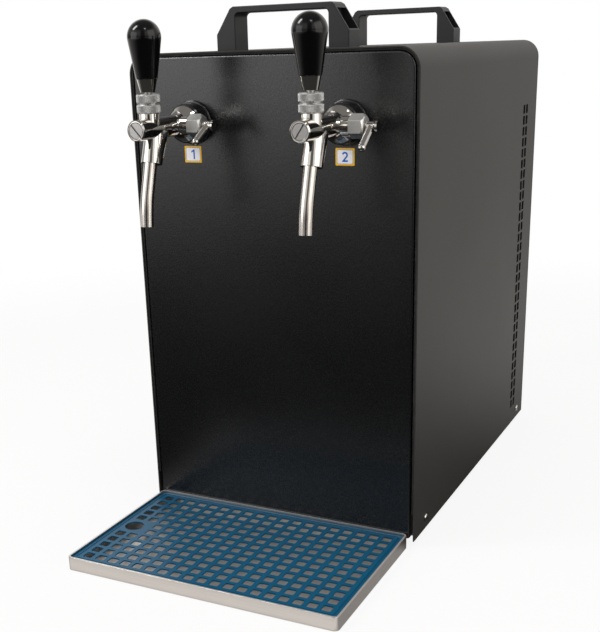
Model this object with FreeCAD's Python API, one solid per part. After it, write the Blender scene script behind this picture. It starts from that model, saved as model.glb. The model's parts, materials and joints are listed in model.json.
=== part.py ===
"""Two-tap countertop beer cooler: a sheet-metal cabinet with two carrying handles, two chromed taps
with flow compensators, a loose drip tray, and the dry-contact cooling circuit inside.

Millimetres, +Z up, front towards -Y. The origin lies on the table under the middle of the whole
cooler. Distances called "ahead" run from the front panel's face towards -Y, and distances called
"behind" run from it towards +Y. Heights are above the table unless their comment says otherwise.
"""
import FreeCAD, Part
import math
import os
from FreeCAD import Vector

# ================================================================ driving dimensions
# ---- fits
running = 0.08             # radial play of turning, sliding and screwed fits
fit_gap = 0.4              # sheet parts that slide into one another
hole_gap = 0.2             # fittings in the rear panel's cut-outs
swing_gap = 0.3            # between a curved piece and one that moves past it
solder_gap = 0.1           # around the tubes in the cooling block

# ---- cabinet
case_width = 289.0
case_depth = 414.0
case_height = 452.4
case_lift = 5.8            # table to the casing's lower edge
sheet = 1.2                # casing, front panel and rear panel
case_corner = 19.0         # outer radius of the two bends over the top
panel_side_gap = 4.4       # casing's outer face to the front panel's edge
panel_top_gap = 3.7
panel_bottom = 7.5         # front panel's lower edge
panel_bottom_corner = 3.0
panel_flange = 10.0        # depth of the panel's folded edge
panel_edge_radius = 1.8
gasket_width = 1.9
gasket_setback = 0.8       # gasket's front behind the panel's face
gasket_lip = 3.0           # thickness of the lip behind the panel's folded edge
gasket_overlap = 2.0       # how far that lip reaches in past the panel's edge
gasket_foot_gap = 1.0      # gasket's ends above the base
rear_recess = 3.0          # rear panel's outer face inside the casing's rear edge
rear_flange = 12.0         # width of the casing's folded rear edge
rear_fold_corner = 8.0

# ---- base and feet
base_sheet = 1.5
base_underside = 7.0
base_flange = 24.0
base_tongue_gap = 1.0      # base's rear tongue to the casing's folded edge
foot_radius = 11.0
foot_tread = 8.5           # radius of the face that stands on the table
foot_edge = 1.2
foot_inset_x = 29.0        # casing's side to the foot's middle
foot_inset_y = 32.0
foot_pin = 3.5
foot_pin_height = 4.5
foot_barb = 5.1

# ---- sheet-metal screws
screw_radius = 2.0
screw_head = 3.7
screw_head_height = 2.0
screw_grip = 4.0           # how far a screw stands through the last sheet
side_screw_height = 17.6
side_screw_front_inset = 32.9
side_screw_rear_inset = 29.1
rear_screw_low_inset = 40.0
rear_screw_high_inset = 60.0

# ---- side vents
vent_pitch = 12.15
vent_slot_height = 9.8
vent_slot_width = 8.4
vent_bar = 3.6             # metal between the two slots of a row
vent_corner = 1.4
vent_rear_inset = 60.0     # casing's rear edge to the first slot's front end
vent_top_drop = 69.4       # casing's top to the highest slot
vent_low_margin = 20.0     # least metal below the lowest slot

# ---- handles
handle_foot_half = 66.7
handle_lean = 14.5         # how far the sloping ends lean in
handle_end = 5.4           # sloping end's top to the opening
handle_height = 38.4
handle_foot_height = 14.3
handle_bar = 5.6
handle_width = 25.3
handle_wall = 2.2
handle_crown = 1.8         # fall of the bar's bevelled ends
handle_shoulder = 3.2      # length of the bar's bevelled ends
handle_opening_corner = 4.0
handle_edge = 0.9
handle_pocket_floor = 1.2  # foot's knee to the hollow in the sloping end
handle_pocket_wall = 3.2   # opening to that hollow
handle_pocket_drop = 5.2   # bar's top to that hollow
handle_front_behind = 33.2
handle_rear_inset = 78.8   # casing's rear edge to the rear handle's front face
handle_screw_inset = 8.8
handle_screw_radius = 3.0
handle_screw_head = 5.5
handle_screw_head_height = 3.2
handle_screw_depth = 10.0
handle_screw_bore = 11.0   # blind bore in the handle's foot

# ---- taps
tap_spacing = 155.0
tap_shift = 0.6            # middle of the two taps from the cabinet's middle
tap_drop = 62.0            # casing's top to the tap's axis
compensator_ahead = 38.0
lever_step = 36.0          # compensator to lever
nose_step = 23.0           # lever to the tap's front
spout_step = 3.0           # lever to the tube's middle where it leaves the socket
tap_radius = 9.1
tap_edge = 1.0
tap_flange_radius = 15.7
tap_flange_thickness = 2.2
tap_flange_edge = 1.0
tap_bell_length = 21.0     # from the flange's rear face to the plain barrel
tap_bell_hollow = 3.0
tap_bore = 5.55
plug_wall = 1.9            # barrel's outside to the front plug
plug_depth = 7.0
plug_setback = 0.5
plug_edge = 0.7
plug_groove = 0.9
plug_groove_depth = 0.7
plug_slot = 1.8
plug_slot_depth = 1.3
plug_turns = (48.0, -56.0)  # degrees that the slots are turned from level
seal_thickness = 1.5
seal_play = 0.1

# ---- levers
neck_radius = 8.75
neck_height = 13.0         # above the tap's axis
pivot_height = 11.8        # above the tap's axis
ball_radius = 5.0
ring_radius = 10.5
ring_height = 7.6
ring_gap = 0.9
ring_chamfer = 1.2
ring_shoulder = 1.7        # ring's outside to the spigot between the rings
stem_radius = 3.0
stem_in_knob = 18.0
stem_end_gap = 1.0
tail_radius = 1.8
tip_radius = 2.2
lever_forward = 17.0       # degrees, pouring
ferrule_top_radius = 8.9
ferrule_bottom_radius = 6.0
knob_bottom = 41.6         # above the tap's axis
knob_top = 90.4            # above the tap's axis
knob_bottom_radius = 9.4
knob_radius = 14.65
knob_edge = 0.6
piston_half = 12.0
piston_groove_inset = 3.0
piston_groove_width = 1.8
piston_groove_depth = 1.1
piston_slot_step = 1.6     # height of the slot's wider upper part above the tap's axis
piston_slot_half = 4.1     # half the length of that upper part

# ---- spouts
spout_tilt = 17.0
spout_end_tilt = 5.0
socket_drop = 29.2         # tap's axis to the socket's mouth
socket_radius = 9.3
socket_set_back = 1.8      # tube's middle to the socket's middle
socket_length = 30.0
socket_flare = 12.4        # degrees, lean of the socket's rear side against its front side
spout_radius = 5.85
spout_wall = 0.8
spout_grip = 14.0          # how far the tube reaches into the socket
spout_straight = 26.0      # straight stretch below the socket
spout_bend_radius = 90.0
spout_tip = 10.5

# ---- shanks and collars
collar_radius = 20.0
collar_thickness = 16.6    # the tap's flange seats on it
collar_disc = 3.2
collar_edge = 1.4
collar_hub_radius = 17.4
collar_hub_draft = 0.6
collar_hub_edge = 1.2
shank_radius = 7.9
shank_behind = 45.0
shank_bore = 3.4
shank_in_tap = 9.0
shank_seat = 9.0           # how far the beer tube reaches into the shank
shank_washer_radius = 15.0
shank_washer_thickness = 1.5
shank_nut_flats = 27.0
shank_nut_thickness = 8.0

# ---- flow compensators
boss_radius = 8.6
boss_reach = 20.2
boss_flange = 8.1          # length of the boss's wide end
boss_edge = 0.5
boss_root = 5.2            # radius of the boss's slim part inside the barrel
boss_neck = 6.4            # radius of that part at the wide end
comp_nut_flats = 18.0
comp_nut_length = 12.9
comp_nut_edge = 2.6
spindle_radius = 3.0
spindle_collar = 4.6
spindle_collar_length = 4.6
spindle_eye = 3.7          # thick inner end that carries the eccentric pin
spindle_end = 3.2          # how far the spindle stands out of the hub
hub_gap = 0.9
hub_radius = 4.1
hub_length = 6.6
cap_radius = 4.9
cap_length = 1.9
arm_length = 26.5
arm_root = 3.5
arm_tip = 3.0
arm_ball = 3.3
arm_angles = (28.0, 36.5)  # degrees below straight ahead, tap 1 and tap 2
eccentric = 2.4
pin_radius = 1.1
pin_reach = 1.0            # how far the pin reaches past the cone's middle
cone_half = 8.0
cone_taper = 6.0
cone_tip = 2.0

# ---- number plates
plate_width = 18.0
plate_height = 15.2
plate_thickness = 0.4
plate_corner = 0.8
plate_shift = -2.0         # plate's middle from the tap's axis
plate_drop = 29.1          # tap's axis to the plate's middle

# ---- drip tray
tray_inset = 6.0           # casing's side to the tray's side
tray_depth = 171.0
tray_height = 13.2
tray_wall = 1.0
tray_hem = 1.8
tray_hem_depth = 1.6
tray_corner = 5.0
tray_rim_radius = 0.5
tray_gap = 0.3             # tray's back to the front panel
ledge_width = 4.0          # strips along the tray's front and back that carry the grid
ledge_thickness = 1.0
grid_clearance = 0.5
grid_recess = 2.0
grid_thickness = 3.0
grid_web = 1.2             # thickness of the holed deck inside the grid's border
grid_border = 5.2
grid_corner = 4.0
grid_pitch_x = 13.66
grid_pitch_y = 12.87
grid_hole_x = 9.4
grid_hole_y = 9.2
grid_hole_corner = 1.6
grid_margin = 7.5          # least plain border round the holes
grid_rib = 1.0             # least metal between the round hole and the square ones
groove_inset = 3.4
groove_width = 1.0
groove_depth = 0.5
drain_radius = 9.5
drain_step = 3.82          # first column of holes to the round hole's middle

# ---- thermostat and dial
dial_inset = 34.5          # casing's side to the dial's middle
dial_height = 87.0
dial_radius = 33.0
dial_skirt = 5.0
dial_reach = 24.0          # beyond the casing's rear edge
dial_gap = 1.0
dial_grip_radius = 20.5
dial_grip_draft = 3.6
dial_edge = 1.5
dial_flutes = 12
dial_flute_radius = 3.0
dial_flute_depth = 1.4
dial_shaft = 2.9
dial_shaft_depth = 15.0    # how far the shaft reaches into the dial
thermostat_half = 17.0
thermostat_depth = 32.0
thermostat_bush = 4.0

# ---- mains switch
socket_inset = 46.5        # casing's side to the switch's and the inlet's middle
switch_height = 112.0
switch_half_x = 9.4
switch_half_z = 13.4
switch_depth = 20.0
switch_wall = 1.6
switch_well = 12.0
switch_flange_edge = 2.0
switch_flange = 2.0
switch_flange_radius = 1.0
switch_tab_step = 5.0
switch_tab_length = 8.0
switch_tab_width = 6.0
switch_tab_thickness = 1.6
rocker_depth = 3.0         # pivot behind the switch's face
rocker_pin = 1.5
rocker_pin_length = 1.8
rocker_tilt = 8.0
rocker_half_x = 7.3
rocker_half_z = 10.6
rocker_valley = 4.6        # pivot to the bottom of the V face
rocker_root = 4.5
rocker_taper = 2.0

# ---- mains inlet
socket_height = 62.0
socket_half_x = 13.6
socket_half_z = 9.8
socket_depth = 17.0
socket_flange_half_x = 24.0
socket_flange_half_z = 11.5
socket_flange = 2.4
socket_flange_corner = 4.0
socket_well_half_x = 12.0
socket_well_half_z = 8.0
socket_well_depth = 14.5
socket_well_corners = (2.0, 2.0, 5.0, 5.0)
socket_pin_places = ((-7.0, -1.6), (0.0, 2.4), (7.0, -1.6))
socket_pin_half_x = 1.0
socket_pin_half_z = 2.0
socket_pin_setback = 2.0
socket_pin_tail = 7.0
socket_screw_step = 20.0
socket_screw_radius = 1.7

# ---- beer hose fittings
inlet_spacing = 29.0
inlet_drop = 73.2          # casing's top to the fittings' axis
inlet_radius = 10.0
inlet_reach = 14.0
inlet_edge = 1.0
inlet_thread = 7.0
inlet_flange = 12.0
inlet_flange_thickness = 3.0
inlet_nut_flats = 21.0
inlet_nut_thickness = 5.0
inlet_tail_length = 12.0
inlet_bore = 2.8
inlet_seat = 5.6           # how far the beer tube reaches into the fitting
hose_radius = 4.8          # 9.5 mm beer hose, pushed in
hose_grip = 6.6            # hose's reach beyond the collet
collet_radius = 7.2
collet_grip = 9.0
collet_head = 2.2
collet_lip = 1.6
collet_stand = 1.4         # collet's head above the fitting's mouth
collet_travel = 1.2

# ---- cooling block and its tubes
tube_radius = 4.0
coil_runs = 4              # an even number, so that the last run leads up to the tap
coil_low = 62.0
coil_high = 205.0
beer_plane = 80.0          # behind
evaporator_plane = 108.0   # behind
evaporator_pitch = 20.0
evaporator_margin = 10.0   # least metal beside the evaporator
evaporator_stub = 40.0     # how far its ends stand above the insulation
bend_margin = 0.01         # keeps two bends from meeting in a point
block_margin = 14.5        # tap's plane to the block's side
block_front = 58.0         # behind
block_back = 128.0         # behind
block_low = 36.0
block_high = 228.0
foam = 25.0
foot_pocket = 1.0          # room round the feet's barbs in the insulation

# ---- compressor
compressor_side_gap = 26.5  # casing's side to the can
compressor_front_gap = 21.0  # insulation to the can's seam
compressor_radius = 62.0
compressor_low = 20.0
compressor_height = 148.0
compressor_wall = 3.0
compressor_dome = 22.0
compressor_bottom_inset = 12.0
compressor_top_radius = 28.0
compressor_seam = 4.0
compressor_seam_height = 5.0
mount_plate = 3.0
mount_plate_margin = 3.0
mount_plate_corner = 8.0
grommet_setback = 14.0     # can's side to the mounts' middles
grommet_radius = 9.0
grommet_waist = 1.5
grommet_stud = 3.0
grommet_head = 3.0
motor_stator_radius = 43.0
motor_stator_height = 62.0
pump_half_x = 30.0
pump_half_y = 26.0
pump_height = 36.0

# ---- condenser and fan
condenser_left_inset = 32.5
condenser_right_inset = 76.5
condenser_low = 150.0
condenser_headroom = 35.0  # condenser's top to the hose fittings' axis
condenser_depth = 26.0
condenser_rear_gap = 9.8   # condenser to the rear panel
condenser_rows = 7
condenser_end_plate = 1.5
condenser_overhang = 8.0
fin_pitch = 5.4
fin_thickness = 0.6
grille_margin = 10.0       # condenser's edges to the outermost grille slots
grille_pitch = 10.4
grille_slot_height = 4.0
grille_step = 41.5
grille_slot = 33.0
shroud_sheet = 2.0
throat_depth = 26.0
arm_width = 6.0
arm_sheet = 3.0
arm_overlap = 0.5
fan_radius = 76.0
fan_tip_gap = 4.0
fan_blades = 5
fan_pitch_angle = 24.0
fan_hub_radius = 16.0
fan_hub_half = 8.0
fan_blade_half = 16.0
fan_blade_thickness = 1.8
fan_blade_root = 12.0
fan_setback = 13.0         # fan's middle ahead of the condenser
fan_motor_radius = 24.0
fan_motor_ring = 3.5
fan_motor_length = 30.0
fan_shaft_radius = 3.0
fan_shaft_length = 46.0
fan_shaft_in_motor = 23.7
fan_shaft_end_gap = 0.3

# ---- refrigerant tubes
pipe_radius = 3.0
discharge_rise = 100.0     # compressor's underside to the discharge tube
discharge_step = 12.0
discharge_bend = 5.0
liquid_bend = 8.0
feed_rise = 112.0          # insulation's top to the tube along the top
feed_bend = 12.0
suction_radius = 4.0
suction_rise = 77.0
suction_step = 20.0        # compressor's middle to the suction tube
suction_bend = 14.0
pipe_end_gap = 0.2
drier_step = 30.0          # condenser's side to the filter drier
drier_rise = 50.0          # condenser's lower edge to the filter drier
drier_radius = 9.5
drier_neck = 4.0
drier_end = 3.2
drier_neck_length = 8.0
drier_cone_length = 6.0
drier_body_length = 60.0

# ================================================================ places worked out from them
past = 1.0                 # how far a cutting tool runs past the material
tiny = 0.01                # tolerance for finding an edge by its place

half_width = case_width / 2
case_top = case_lift + case_height
tray_reach = tray_gap + tray_depth
face_y = (tray_reach - case_depth - dial_reach) / 2
rear_edge = face_y + case_depth
rear_face = rear_edge - rear_recess
rear_inner = rear_face - sheet
inner_half = half_width - sheet
panel_half = half_width - panel_side_gap
panel_top = case_top - panel_top_gap
base_top = base_underside + base_sheet
base_rim = base_top + base_flange
side_screw_ys = (face_y + side_screw_front_inset, rear_edge - side_screw_rear_inset)

handle_starts = (face_y + handle_front_behind, rear_edge - handle_rear_inset)
handle_screw_x = handle_foot_half - handle_screw_inset

tap_axis = case_top - tap_drop
tap_sides = (tap_shift - tap_spacing / 2, tap_shift + tap_spacing / 2)
tap_ahead = compensator_ahead + lever_step + nose_step
plug_radius = tap_radius - plug_wall
comp_y = face_y - compensator_ahead
lever_y = comp_y - lever_step
pivot_z = tap_axis + pivot_height
ring_low = tap_axis + neck_height
ring_high = ring_low + ring_height + ring_gap
rings_top = ring_high + ring_height
ring_rim = ring_radius - ring_chamfer
knob_low = tap_axis + knob_bottom
ferrule_dish = math.hypot(ring_rim, rings_top - pivot_z) + swing_gap
collar_end = boss_reach - fit_gap
collar_start = collar_end - spindle_collar_length
spindle_start = tap_bore + swing_gap
hub_start = boss_reach + comp_nut_length + hub_gap
spindle_reach = hub_start + hub_length + spindle_end

tray_half = half_width - tray_inset
tray_front = face_y - tray_reach
tray_back = face_y - tray_gap
grid_top = tray_height - grid_recess
grid_low = grid_top - grid_thickness
grid_half = tray_half - tray_hem - grid_clearance
grid_front = tray_front + tray_hem + grid_clearance
grid_back = tray_back - tray_hem - grid_clearance
grid_middle = (grid_front + grid_back) / 2

dial_x = half_width - dial_inset
socket_x = socket_inset - half_width
inlet_height = case_top - inlet_drop
inlet_sides = (-inlet_spacing / 2, inlet_spacing / 2)
inlet_mouth = rear_face + inlet_reach
inlet_tail = rear_inner - inlet_tail_length

block_half = tap_spacing / 2 + block_margin
foam_top = block_high + foam
evaporator_half = evaporator_pitch * int((block_half - evaporator_margin) / evaporator_pitch)
compressor_x = compressor_side_gap + compressor_radius - half_width
compressor_y = face_y + block_back + foam + compressor_front_gap + compressor_radius + compressor_seam
grommet_step = compressor_radius - grommet_setback
compressor_high = compressor_low + compressor_height
condenser_left = condenser_left_inset - half_width
condenser_right = half_width - condenser_right_inset
condenser_high = inlet_height - condenser_headroom
condenser_back = rear_inner - condenser_rear_gap
condenser_front = condenser_back - condenser_depth
condenser_middle = condenser_front + condenser_depth / 2
condenser_pitch = (condenser_high - condenser_low) / condenser_rows
fan_x = (condenser_left + condenser_right) / 2
fan_z = (condenser_low + condenser_high) / 2
throat_radius = fan_radius + fan_tip_gap
fan_motor_back = condenser_front - throat_depth
drier_length = 2 * (drier_neck_length + drier_cone_length) + drier_body_length
drier_place = (condenser_right + drier_step, condenser_middle, condenser_low + drier_rise)

X_AXIS = Vector(1, 0, 0)
Y_AXIS = Vector(0, 1, 0)
Z_AXIS = Vector(0, 0, 1)
ORIGIN = Vector(0, 0, 0)
FORWARD = Vector(0, -1, 0)
DOWN = Vector(0, 0, -1)


# ================================================================ building blocks
def box(x0, x1, y0, y1, z0, z1):
    return Part.makeBox(x1 - x0, y1 - y0, z1 - z0, Vector(x0, y0, z0))


def block_about(x, half_x, y0, y1, z, half_z):
    """Box between y0 and y1 with its middle at x and z."""
    return box(x - half_x, x + half_x, y0, y1, z - half_z, z + half_z)


def rod(radius, start, direction, length):
    return Part.makeCylinder(radius, length, Vector(*start), direction)


def ring(outer, inner, start, direction, length):
    return rod(outer, start, direction, length).cut(rod(inner, start, direction, length))


def fuse(shapes):
    whole = shapes[0].multiFuse(shapes[1:]) if len(shapes) > 1 else shapes[0]
    return whole.removeSplitter()


def group(shapes):
    return Part.makeCompound(shapes)


def count_within(span, pitch):
    """How many places a pitch apart fit on a span, both ends counted."""
    return int(span / pitch) + 1


def rounded_wire(x0, x1, z0, z1, radii):
    """Closed outline in the XZ plane; radii are lower left, lower right, upper right, upper left."""
    corners = ((x0, z0, 1, 1), (x1, z0, -1, 1), (x1, z1, -1, -1), (x0, z1, 1, -1))
    turns = []
    for index, ((x, z, step_x, step_z), radius) in enumerate(zip(corners, radii)):
        centre = Vector(x + step_x * radius, 0, z + step_z * radius)
        along_x = Vector(centre.x, 0, z)
        along_z = Vector(x, 0, centre.z)
        first, last = (along_z, along_x) if index % 2 == 0 else (along_x, along_z)
        middle = centre - Vector(step_x, 0, step_z) * (radius / math.sqrt(2))
        turns.append((first, middle, last, radius))
    edges = []
    for index, (first, middle, last, radius) in enumerate(turns):
        if radius > 0:
            edges.append(Part.Arc(first, middle, last).toShape())
        edges.append(Part.makeLine(last, turns[(index + 1) % len(turns)][0]))
    return Part.Wire(edges)


def panel_prism(x0, x1, z0, z1, radii, y0, depth):
    """Rounded rectangle in the XZ plane, from y0 backwards by depth."""
    face = Part.Face(rounded_wire(x0, x1, z0, z1, radii))
    face.translate(Vector(0, y0, 0))
    return face.extrude(Vector(0, depth, 0))


def deck_prism(x0, x1, y0, y1, radius, z0, height):
    """Rounded rectangle in the XY plane, from z0 upwards by height."""
    face = Part.Face(rounded_wire(x0, x1, y0, y1, (radius,) * 4))
    face.rotate(ORIGIN, X_AXIS, -90)
    face.translate(Vector(0, 0, z0))
    return face.extrude(Vector(0, 0, height))


def outline_prism(points, direction):
    """Prism of a closed outline of corner points."""
    corners = [Vector(*point) for point in points]
    return Part.Face(Part.makePolygon(corners + corners[:1])).extrude(direction)


def hexagon(flats, start, direction, length):
    """Hexagonal bar with the given distance across its flats."""
    radius = corner_radius(flats)
    corners = []
    for step in range(6):
        angle = step * math.pi / 3
        corners.append((radius * math.cos(angle), radius * math.sin(angle), 0))
    bar = outline_prism(corners, Vector(0, 0, length))
    bar.Placement = FreeCAD.Placement(Vector(*start), FreeCAD.Rotation(Z_AXIS, direction))
    return bar


def corner_radius(flats):
    """Radius of a hexagon's corners."""
    return flats / 2 / math.cos(math.pi / 6)


def turned(profile, start, direction):
    """Solid of revolution from (radius, distance) points; a third value bulges the span to it."""
    edges = []
    points = [Vector(p[0], 0, p[1]) for p in profile]
    for index in range(1, len(points)):
        first = points[index - 1]
        last = points[index]
        bulge = profile[index][2] if len(profile[index]) > 2 else 0.0
        if bulge:
            along = last - first
            side = Vector(along.z, 0, -along.x).normalize()
            middle = (first + last) * 0.5 + side * bulge
            edges.append(Part.Arc(first, middle, last).toShape())
        else:
            edges.append(Part.makeLine(first, last))
    edges.append(Part.makeLine(points[-1], points[0]))
    solid = Part.Face(Part.Wire(edges)).revolve(ORIGIN, Z_AXIS, 360)
    solid.Placement = FreeCAD.Placement(Vector(*start), FreeCAD.Rotation(Z_AXIS, direction))
    return solid


def pipe(points, radius, bend):
    """Round bar along straight runs joined by tangent arcs."""
    nodes = [Vector(*p) for p in points]
    edges = []
    start = nodes[0]
    for index in range(1, len(nodes) - 1):
        corner = nodes[index]
        into = (corner - nodes[index - 1]).normalize()
        out = (nodes[index + 1] - corner).normalize()
        turn = into.getAngle(out)
        trim = bend * math.tan(turn / 2)
        first = corner - into * trim
        last = corner + out * trim
        centre_way = (out - into).normalize()
        centre = corner + centre_way * (bend / math.cos(turn / 2))
        middle = centre - centre_way * bend
        if (first - start).Length > 1e-6:
            edges.append(Part.makeLine(start, first))
        edges.append(Part.Arc(first, middle, last).toShape())
        start = last
    edges.append(Part.makeLine(start, nodes[-1]))
    path = Part.Wire(edges)
    way = (nodes[1] - nodes[0]).normalize()
    section = Part.Wire([Part.makeCircle(radius, nodes[0], way)])
    return path.makePipeShell([section], True, False)


def pan_screw(head_radius, head_height, radius, length, start, direction, turn=0.0):
    """Screw whose head stands outwards of start along direction, with a cross recess."""
    rim = head_height * 0.35
    crown = head_radius * 0.45
    crown_bulge = 0.35
    recess = head_radius * 0.62
    recess_half = head_radius * 0.13
    profile = ((0, -length), (radius, -length), (radius, 0), (head_radius, 0), (head_radius, rim),
               (crown, head_height, crown_bulge), (0, head_height))
    body = turned(profile, (0, 0, 0), Z_AXIS)
    top = head_height + past
    cross = [box(-recess, recess, -recess_half, recess_half, rim, top),
             box(-recess_half, recess_half, -recess, recess, rim, top)]
    body = body.cut(cross)
    body.rotate(ORIGIN, Z_AXIS, turn)
    place = FreeCAD.Placement(Vector(*start), FreeCAD.Rotation(Z_AXIS, direction))
    body.Placement = place.multiply(body.Placement)
    return body


# ================================================================ cabinet
def side_screw_holes():
    """Tools for the holes of the screws that join the casing and the base."""
    reach = half_width + past
    return [rod(screw_radius + running, (-reach, y, side_screw_height), X_AXIS, 2 * reach)
            for y in side_screw_ys]


def rear_screw_places():
    """Three screws down each side of the rear panel, as (x, z)."""
    column = inner_half - rear_flange / 2
    low = case_lift + rear_screw_low_inset
    high = case_top - rear_screw_high_inset
    return [(side * column, z) for side in (-1, 1) for z in (low, (low + high) / 2, high)]


def rear_screw_holes():
    reach = sheet + past
    return [rod(screw_radius + running, (x, rear_inner - reach, z), Y_AXIS, 2 * reach)
            for x, z in rear_screw_places()]


def handle_screw_places():
    """Two screws up into each handle, as (x, y)."""
    return [(side * handle_screw_x, start + handle_width / 2)
            for start in handle_starts for side in (-1, 1)]


def vent_slots():
    """Two columns of slots through both side walls."""
    top = case_top - vent_top_drop
    rows = count_within(top - vent_slot_height - case_lift - vent_low_margin, vent_pitch)
    slots = []
    for column in range(2):
        front = rear_edge - vent_rear_inset + column * (vent_slot_width + vent_bar)
        for row in range(rows):
            high = top - row * vent_pitch
            blank = box(-half_width - past, half_width + past, front, front + vent_slot_width,
                        high - vent_slot_height, high)
            corners = [edge for edge in blank.Edges if edge.Length > case_width]
            slots.append(blank.makeFillet(vent_corner, corners))
    return slots


def outer_casing():
    """Sheet folded over both sides and the top, with a flange round its rear opening."""
    inner_corner = case_corner - sheet
    outer_radii = (0.0, 0.0, case_corner, case_corner)
    inner_radii = (0.0, 0.0, inner_corner, inner_corner)
    shell = panel_prism(-half_width, half_width, case_lift, case_top, outer_radii, face_y, case_depth)
    shell = shell.cut(panel_prism(-inner_half, inner_half, case_lift - past, case_top - sheet,
                                  inner_radii, face_y, case_depth))
    fold_y = rear_inner - sheet
    fold_half = inner_half - rear_flange
    fold_radii = (0.0, 0.0, rear_fold_corner, rear_fold_corner)
    fold = panel_prism(-inner_half, inner_half, case_lift, case_top - sheet, inner_radii, fold_y,
                       sheet)
    fold = fold.cut(panel_prism(-fold_half, fold_half, case_lift - past,
                                case_top - sheet - rear_flange, fold_radii, fold_y, sheet))
    handle_holes = [rod(handle_screw_radius + hole_gap, (x, y, case_top - sheet - past), Z_AXIS,
                        sheet + 2 * past) for x, y in handle_screw_places()]
    return shell.fuse(fold).cut(vent_slots() + handle_holes + side_screw_holes()
                                + rear_screw_holes())


def front_panel():
    """Face sheet with its edges folded back, and a hole for each shank."""
    low = panel_bottom_corner
    top = case_corner - panel_side_gap
    shell = panel_prism(-panel_half, panel_half, panel_bottom, panel_top, (low, low, top, top),
                        face_y, panel_flange)
    front_edges = [edge for edge in shell.Edges if abs(edge.BoundBox.YMax - face_y) < tiny]
    shell = shell.makeFillet(panel_edge_radius, front_edges)
    inner_radii = (low - sheet, low - sheet, top - sheet, top - sheet)
    hollow = panel_prism(-panel_half + sheet, panel_half - sheet, panel_bottom + sheet,
                         panel_top - sheet, inner_radii, face_y + sheet, panel_flange)
    holes = [rod(shank_radius + swing_gap, (x, face_y - past, tap_axis), Y_AXIS, sheet + 2 * past)
             for x in tap_sides]
    return shell.cut([hollow] + holes)


def panel_gasket():
    """Rubber profile on the casing's inside, with a lip behind the panel's folded edge."""
    front = face_y + gasket_setback
    lip_front = face_y + panel_flange
    low = base_rim + gasket_foot_gap
    top = case_top - sheet
    corner = case_corner - sheet

    def arch(inset, y0, y1, drop=0.0):
        radius = corner - inset
        half = inner_half - inset
        return panel_prism(-half, half, low - drop, top - inset, (0.0, 0.0, radius, radius), y0,
                           y1 - y0)

    reach = panel_side_gap - sheet + gasket_overlap
    body = arch(0.0, front, lip_front + gasket_lip)
    body = body.cut(arch(gasket_width, front, lip_front, past))
    return body.cut(arch(reach, front, lip_front + gasket_lip, past))


def foot_places():
    x = half_width - foot_inset_x
    ys = (face_y + foot_inset_y, rear_edge - foot_inset_y)
    return [(side * x, y) for side in (-1, 1) for y in ys]


def grommet_places():
    return [(compressor_x + side * grommet_step, compressor_y + end * grommet_step)
            for side in (-1, 1) for end in (-1, 1)]


def base_plate():
    """Pan with upturned edges, screwed inside the casing's lower edge."""
    outer = inner_half - fit_gap
    front = face_y + panel_flange
    back = rear_inner - sheet - fit_gap
    tongue = inner_half - rear_flange - base_tongue_gap
    walls = [box(-outer, outer, front, back, base_underside, base_top),
             box(-outer, base_sheet - outer, front, back, base_underside, base_rim),
             box(outer - base_sheet, outer, front, back, base_underside, base_rim),
             box(-outer, outer, front, front + base_sheet, base_underside, base_rim),
             box(-tongue, tongue, back - base_sheet, rear_inner, base_underside, base_top),
             box(-tongue, tongue, rear_inner - base_sheet, rear_inner, base_underside, base_rim)]
    low = base_underside - past
    depth = base_sheet + 2 * past
    cuts = [rod(foot_pin + running, (x, y, low), Z_AXIS, depth) for x, y in foot_places()]
    cuts += [rod(grommet_stud + running, (x, y, low), Z_AXIS, depth) for x, y in grommet_places()]
    return fuse(walls).cut(cuts + side_screw_holes())


def rubber_feet():
    """Moulded feet, each pushed through the base by a barbed pin."""
    top = base_underside + foot_pin_height
    profile = ((0, 0), (foot_tread, 0), (foot_radius - foot_edge, foot_edge),
               (foot_radius, base_underside), (foot_pin, base_underside), (foot_pin, base_top),
               (foot_barb, base_top), (foot_pin, top), (0, top))
    return group([turned(profile, (x, y, 0), Z_AXIS) for x, y in foot_places()])


def casing_screws():
    screws = []
    turn_step = 25.0
    length = sheet + fit_gap + base_sheet + screw_grip
    for index, y in enumerate(side_screw_ys, start=1):
        for side in (-1, 1):
            start = (side * half_width, y, side_screw_height)
            screws.append(pan_screw(screw_head, screw_head_height, screw_radius, length, start,
                                    Vector(side, 0, 0), turn_step * index))
    return group(screws)


def rear_screws():
    screws = []
    turn_step = 20.0
    length = 2 * sheet + screw_grip
    for index, (x, z) in enumerate(rear_screw_places()):
        screws.append(pan_screw(screw_head, screw_head_height, screw_radius, length,
                                (x, rear_face, z), Y_AXIS, turn_step * index))
    return group(screws)


def rear_panel():
    """Rear sheet with the air grille, and the cut-outs for the fittings."""
    outer = inner_half - fit_gap
    corner = case_corner - sheet - fit_gap
    panel = panel_prism(-outer, outer, base_underside, case_top - sheet - fit_gap,
                        (0.0, 0.0, corner, corner), rear_inner, sheet)
    front = rear_inner - past
    back = rear_face + past
    cuts = rear_screw_holes()
    room = 2 * grille_margin
    rows = count_within(condenser_high - condenser_low - room - grille_slot_height, grille_pitch)
    columns = count_within(condenser_right - condenser_left - room - grille_slot, grille_step)
    for row in range(rows):
        z = condenser_low + grille_margin + row * grille_pitch
        for column in range(columns):
            x = condenser_left + grille_margin + column * grille_step
            cuts.append(box(x, x + grille_slot, front, back, z, z + grille_slot_height))
    cuts.append(rod(thermostat_bush + hole_gap, (dial_x, front, dial_height), Y_AXIS, back - front))
    for x in inlet_sides:
        cuts.append(rod(inlet_thread + hole_gap, (x, front, inlet_height), Y_AXIS, back - front))
    cuts.append(block_about(socket_x, socket_half_x + hole_gap, front, back, socket_height,
                            socket_half_z + hole_gap))
    cuts.append(block_about(socket_x, switch_half_x + hole_gap, front, back, switch_height,
                            switch_half_z + hole_gap))
    return panel.cut(cuts)


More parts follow.
